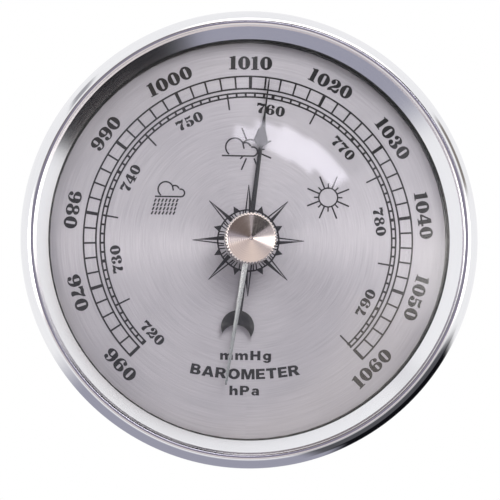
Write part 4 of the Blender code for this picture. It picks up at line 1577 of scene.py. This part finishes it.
@dataclass
class Knob:
    """The serrated knob: a shallow cone cut with fine rings, and a notched rim.

    Attributes:
        teeth: Notches round the rim.
        notch: Their depth.
        ring: Distance between the rings on the face.
        box: Depths of the knob.
        radius: Radius over the rim.
    """

    teeth: int = 48
    notch: float = 0.42
    ring: float = 0.6
    box: Layer = field(default_factory=lambda: Layer.of_node("knob"))
    radius: float = field(default_factory=lambda: node_radius("knob"))

    def profile(self) -> tuple[np.ndarray, np.ndarray]:
        """The knob's section from the centre of its face round to its bore.

        The face falls evenly outwards, with a ripple h cos(2 pi r / ring).

        Returns:
            Radii and depths, and how deep the notches cut at each point.
        """
        front, rear = self.box.front, self.box.rear
        radius = np.linspace(0.55, 7.1, 84)
        face = front - 0.03 - 0.85 * (radius - 0.55) / 6.55
        face = face + 0.0006 * (np.cos(2 * np.pi * radius / self.ring) - 1)
        dimple = np.array([(0.0, front - 0.45), (0.2, front - 0.4), (0.36, front - 0.06)])
        side = softened(np.array([
            (7.1, front - 0.88), (self.radius - 0.1, front - 1.0), (self.radius, front - 1.3),
            (self.radius, rear + 0.6), (6.9, rear), (1.6, rear),
        ]), 0.25, 3, closed=False)
        bore = np.array([(1.6, 42.8), (0.0, 42.8)])
        rows = np.vstack((dimple, np.stack((radius, face), axis=-1), side[1:], bore))
        cut = np.clip((rows[:, 0] - 6.85) / 0.4, 0.0, 1.0)
        return rows, cut

    def build(self) -> None:
        """Makes the knob: the notches are half sines between the teeth."""
        rows, cut = self.profile()
        angle = np.linspace(0.0, 2 * np.pi, self.teeth * 6, endpoint=False)
        wave = 1 - np.abs(np.cos(self.teeth * angle / 2))
        radius = rows[:, :1] - self.notch * cut[:, None] * wave
        grid = np.stack(
            np.broadcast_arrays(radius * np.sin(angle), radius * np.cos(angle), rows[:, 1:]),
            axis=-1,
        )
        make_piece("serrated_knob", surface(grid, round_columns=True), (DIAMOND_TURNED,),
                   "set_hand", ("knob",))


# ---------------------------------------------------------- carried-over nodes


@dataclass
class CarriedNodes:
    """The CAD nodes that stay as they are and only get their finish.

    Attributes:
        turned_words: Words in the names of nodes that were turned on a lathe.
    """

    turned_words: tuple[str, ...] = ("screw", "pillar", "post", "stud", "spindle", "arbor")

    def finish(self, node: str, slot: str) -> Finish | ClearGlass:
        """A node's finish; turned pins and screws get rings about their own axis.

        Args:
            node: The node's name.
            slot: Its material slot in the record.

        Returns:
            The finish.
        """
        base = SLOT_FINISHES[slot]
        if not isinstance(base, Finish) or not any(word in node for word in self.turned_words):
            return base
        low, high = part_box(node)
        middle = ((low.x + high.x) / 2 / MM, (low.z + high.z) / 2 / MM)
        return replace(base, name=f"{base.name}, {node}", marks=Marks.TURNED,
                       size_mm=(0.2, 12.0, 0.2), centre_mm=middle)

    def dress(self) -> None:
        """Gives every node of the record its finish."""
        slots = {row["node"]: row["material_slot"] for row in frame["record"]["subparts"]}
        for node, obj in frame["nodes"].items():
            material = self.finish(node, slots[node]).material()
            obj.data.materials.clear()
            obj.data.materials.append(material)
        LOG.info("dressed %d carried-over nodes", len(slots))


# ----------------------------------------------------------------- the studio


@dataclass(frozen=True)
class Glow:
    """A soft patch of the surroundings that the metal and the glass mirror.

    Attributes:
        colour: sRGB colour.
        strength: Its brightness.
        bearing: Middle bearing as the reader sees it, clockwise from the top.
        half_bearing: Half its width in bearing, 180 or more for all round.
        tilt: Middle angle away from the reader's direction.
        half_tilt: Half its width in tilt.
        soft: Width of its soft edge in bearing.
        soft_tilt: Width of its soft edge in tilt.
    """

    colour: str
    strength: float
    bearing: float
    half_bearing: float
    tilt: float
    half_tilt: float
    soft: float = 8.0
    soft_tilt: float = 6.0


@dataclass
class Studio:
    """Pale floor, pale surroundings with soft patches, three softboxes and the camera.

    Attributes:
        glows: Patches of the surroundings, later ones over earlier ones.
        floor_z: Height of the floor, well below the hanging object.
        distance: Camera distance from the dial.
        left_deg: How far the camera stands to the left of straight ahead.
        below_deg: How far it stands below.
        roll_deg: Its roll.
        frame_mm: Width of what the camera sees at the bezel.
        sensor_mm: Width of its sensor.
    """

    glows: tuple[Glow, ...] = (
        Glow("#B4B0B8", 1.0, 0.0, 400.0, 0.0, 22.0, 8.0, 8.0),
        Glow("#8C8898", 1.0, 0.0, 400.0, 0.0, 13.0, 8.0, 8.0),
        Glow("#FFFAF6", 2.4, 15.0, 22.0, 32.0, 9.0, 16.0, 8.0),
        Glow("#FFF2EA", 1.0, 180.0, 84.0, 13.0, 2.6, 8.0, 3.0),
        Glow("#FFFAF6", 5.5, -90.0, 11.0, 27.0, 12.0, 16.0, 8.0),
        Glow("#FFFAF6", 3.2, 88.0, 10.0, 27.0, 12.0, 16.0, 8.0),
        Glow("#A4A4B2", 1.0, 190.0, 44.0, 100.0, 66.0, 16.0, 16.0),
        Glow("#8C8680", 1.0, 65.0, 9.0, 56.0, 14.0, 5.0),
        Glow("#A8A8AC", 1.0, -45.0, 4.0, 55.0, 20.0, 4.0),
        Glow("#58585C", 1.0, 135.0, 24.0, 56.0, 30.0, 8.0, 12.0),
        Glow("#101014", 1.0, 133.0, 20.0, 108.0, 36.0, 7.0, 12.0),
        Glow("#08080A", 1.0, 34.0, 20.0, 17.5, 5.5, 3.0, 2.0),
        Glow("#6E625C", 1.0, -27.0, 34.0, 16.0, 3.5, 5.0, 2.5),
        Glow("#F6F2FF", 3.0, 16.0, 6.0, 10.4, 0.5, 3.0, 0.5),
        Glow("#F6F2FF", 3.6, 26.0, 9.0, 10.8, 0.85, 4.0, 0.5),
        Glow("#F6F2FF", 4.2, 35.0, 9.0, 11.1, 0.9, 4.0, 0.5),
        Glow("#F6F2FF", 4.4, 45.0, 9.0, 11.5, 0.7, 4.0, 0.5),
    )
    floor_z: float = -0.30
    distance: float = 1.0
    left_deg: float = 3.0
    below_deg: float = 2.5
    roll_deg: float = 0.8
    frame_mm: float = 143.8
    sensor_mm: float = 36.0

    def patch(self, tree: bpy.types.NodeTree, bearing: bpy.types.NodeSocket,
              tilt: bpy.types.NodeSocket, under: bpy.types.NodeSocket, glow: Glow
              ) -> bpy.types.NodeSocket:
        """Lays one patch over the surroundings.

        Its share is the product of two soft windows, in bearing and in tilt,
        each one inside the patch and falling to nothing over the soft edge.

        Args:
            tree: The world's tree.
            bearing: Bearing of the ray in degrees.
            tilt: Tilt of the ray in degrees.
            under: Colour under the patch.
            glow: The patch.

        Returns:
            The colour with the patch on it.
        """
        share = None
        windows = (
            (bearing, glow.bearing, glow.half_bearing, glow.soft),
            (tilt, glow.tilt, glow.half_tilt, glow.soft_tilt),
        )
        for angle, middle, half, soft in windows:
            off = add_node(tree, "ShaderNodeMath", {"operation": "SUBTRACT", 1: middle}, {0: angle})
            near = add_node(
                tree, "ShaderNodeMath", {"operation": "WRAP", 1: 180.0, 2: -180.0},
                {0: off.outputs[0]},
            )
            size = add_node(
                tree, "ShaderNodeMath", {"operation": "ABSOLUTE"}, {0: near.outputs[0]}
            )
            window = add_node(
                tree, "ShaderNodeMapRange",
                {"interpolation_type": "SMOOTHSTEP", "From Min": half - soft / 2,
                 "From Max": half + soft / 2, "To Min": 1.0, "To Max": 0.0},
                {"Value": size.outputs[0]},
            ).outputs[0]
            share = window if share is None else add_node(
                tree, "ShaderNodeMath", {"operation": "MULTIPLY"}, {0: share, 1: window}
            ).outputs[0]
        colour = tuple(c * glow.strength for c in linear(glow.colour)[:3]) + (1.0,)
        return add_node(
            tree, "ShaderNodeMix", {"data_type": "RGBA", 7: colour}, {0: share, 6: under}
        ).outputs[2]

    def surroundings(self) -> None:
        """The world: plain white to the camera, soft patches to everything else.

        For a ray of direction v the tilt is arccos(-v.y) and the bearing
        arctan2(v.x, v.z), both in degrees.
        """
        world = bpy.data.worlds.new("studio")
        bpy.context.scene.world = world
        world.use_nodes = True
        tree = world.node_tree
        tree.nodes.clear()
        way = add_node(tree, "ShaderNodeTexCoord").outputs["Generated"]
        axes = add_node(tree, "ShaderNodeSeparateXYZ", None, {0: way})
        facing = add_node(
            tree, "ShaderNodeMath", {"operation": "MULTIPLY", 1: -1.0}, {0: axes.outputs["Y"]}
        )
        tilt = add_node(
            tree, "ShaderNodeMath", {"operation": "ARCCOSINE"}, {0: facing.outputs[0]}
        )
        bearing = add_node(
            tree, "ShaderNodeMath", {"operation": "ARCTAN2"},
            {0: axes.outputs["X"], 1: axes.outputs["Z"]},
        )
        tilt, bearing = (
            add_node(tree, "ShaderNodeMath", {"operation": "DEGREES"}, {0: part.outputs[0]})
            .outputs[0]
            for part in (tilt, bearing)
        )
        colour = add_node(tree, "ShaderNodeRGB").outputs[0]
        colour.default_value = (1.0, 1.0, 1.0, 1.0)
        for glow in self.glows:
            colour = self.patch(tree, bearing, tilt, colour, glow)
        seen = add_node(tree, "ShaderNodeBackground", {"Color": (1.0, 1.0, 1.0, 1.0)})
        mirrored = add_node(tree, "ShaderNodeBackground", {"Strength": 1.0}, {"Color": colour})
        ray = add_node(tree, "ShaderNodeLightPath")
        mix = add_node(
            tree, "ShaderNodeMixShader", None,
            {0: ray.outputs["Is Camera Ray"], 1: mirrored.outputs[0], 2: seen.outputs[0]},
        )
        add_node(tree, "ShaderNodeOutputWorld", None, {"Surface": mix.outputs[0]})

    def floor(self) -> None:
        """A pale floor, far enough below that the camera does not see it."""
        finish = Finish("pale studio board", "#F0F0F0", "#E8E8E8", 0.6, 0.8, 0.0,
                        Marks.STRAIGHT, (3.0, 3.0, 3.0), 0.01)
        mesh = bpy.data.meshes.new("floor")
        half = 1.5
        corners = [(-half, -half, self.floor_z), (half, -half, self.floor_z),
                   (half, half, self.floor_z), (-half, half, self.floor_z)]
        mesh.from_pydata(corners, [], [(0, 1, 2, 3)])
        mesh.materials.append(finish.material())
        floor = bpy.data.objects.new("floor", mesh)
        bpy.context.scene.collection.objects.link(floor)
        floor.visible_glossy = False
        floor.visible_transmission = False

    def softbox(self, name: str, place: tuple[float, float, float],
                size: tuple[float, float], power: float) -> None:
        """A soft white lamp that faces the dial and shows in no metal or glass.

        Args:
            name: The lamp's name.
            place: Where it stands, in metres.
            size: Its width and height in metres.
            power: Its power in watts.
        """
        lamp = bpy.data.lights.new(name, "AREA")
        lamp.shape = "RECTANGLE"
        lamp.size, lamp.size_y = size
        lamp.energy = power
        obj = bpy.data.objects.new(name, lamp)
        at = Vector(place)
        facing = (at - Vector((0.0, -0.03, 0.0))).to_track_quat("Z", "Y")
        obj.matrix_world = Matrix.Translation(at) @ facing.to_matrix().to_4x4()
        obj.visible_glossy = obj.visible_transmission = False
        obj.visible_camera = False
        bpy.context.scene.collection.objects.link(obj)

    def lamps(self) -> None:
        """A close softbox above the reader's eye and a faint one at each side."""
        self.softbox("left softbox", (-0.42, -0.40, 0.05), (0.30, 0.50), 0.06)
        self.softbox("right softbox", (0.60, -0.55, 0.10), (0.35, 0.50), 0.05)
        self.softbox("top softbox", (0.04, -0.20, 0.10), (0.10, 0.07), 0.49)

    def camera(self) -> None:
        """A long lens straight at the dial, a little from the left and below."""
        low, high = CAD_BOX
        target = Vector(((low[0] + high[0]) / 2, low[1] + 0.0056, -0.0032))
        left, below = math.radians(self.left_deg), math.radians(self.below_deg)
        away = Vector((
            -math.sin(left) * math.cos(below), -math.cos(left) * math.cos(below), -math.sin(below)
        ))
        data = bpy.data.cameras.new("camera")
        data.sensor_width = self.sensor_mm
        data.lens = self.sensor_mm * self.distance / (self.frame_mm * MM)
        camera = bpy.data.objects.new("camera", data)
        facing = away.to_track_quat("Z", "Y").to_matrix().to_4x4()
        roll = Matrix.Rotation(math.radians(self.roll_deg), 4, "Z")
        camera.matrix_world = Matrix.Translation(target + away * self.distance) @ facing @ roll
        bpy.context.scene.collection.objects.link(camera)
        bpy.context.scene.camera = camera

    def build(self) -> None:
        """Sets up the whole studio."""
        self.surroundings()
        self.floor()
        self.lamps()
        self.camera()
        bpy.context.scene.view_settings.view_transform = "Standard"


def main() -> None:
    """Builds the instrument from the drum to the knob, then the studio."""
    logging.basicConfig(level=logging.INFO, format="%(name)s: %(message)s")
    CarriedNodes().dress()
    for part in (CaseDrum(), AneroidCapsule(), Bezel(), DomedGlass(), DialPrint(),
                 PressureHand(), SetHand(), Knob()):
        LOG.info("building %s", type(part).__name__)
        part.build()
    Studio().build()


if __name__ == "__main__":
    main()
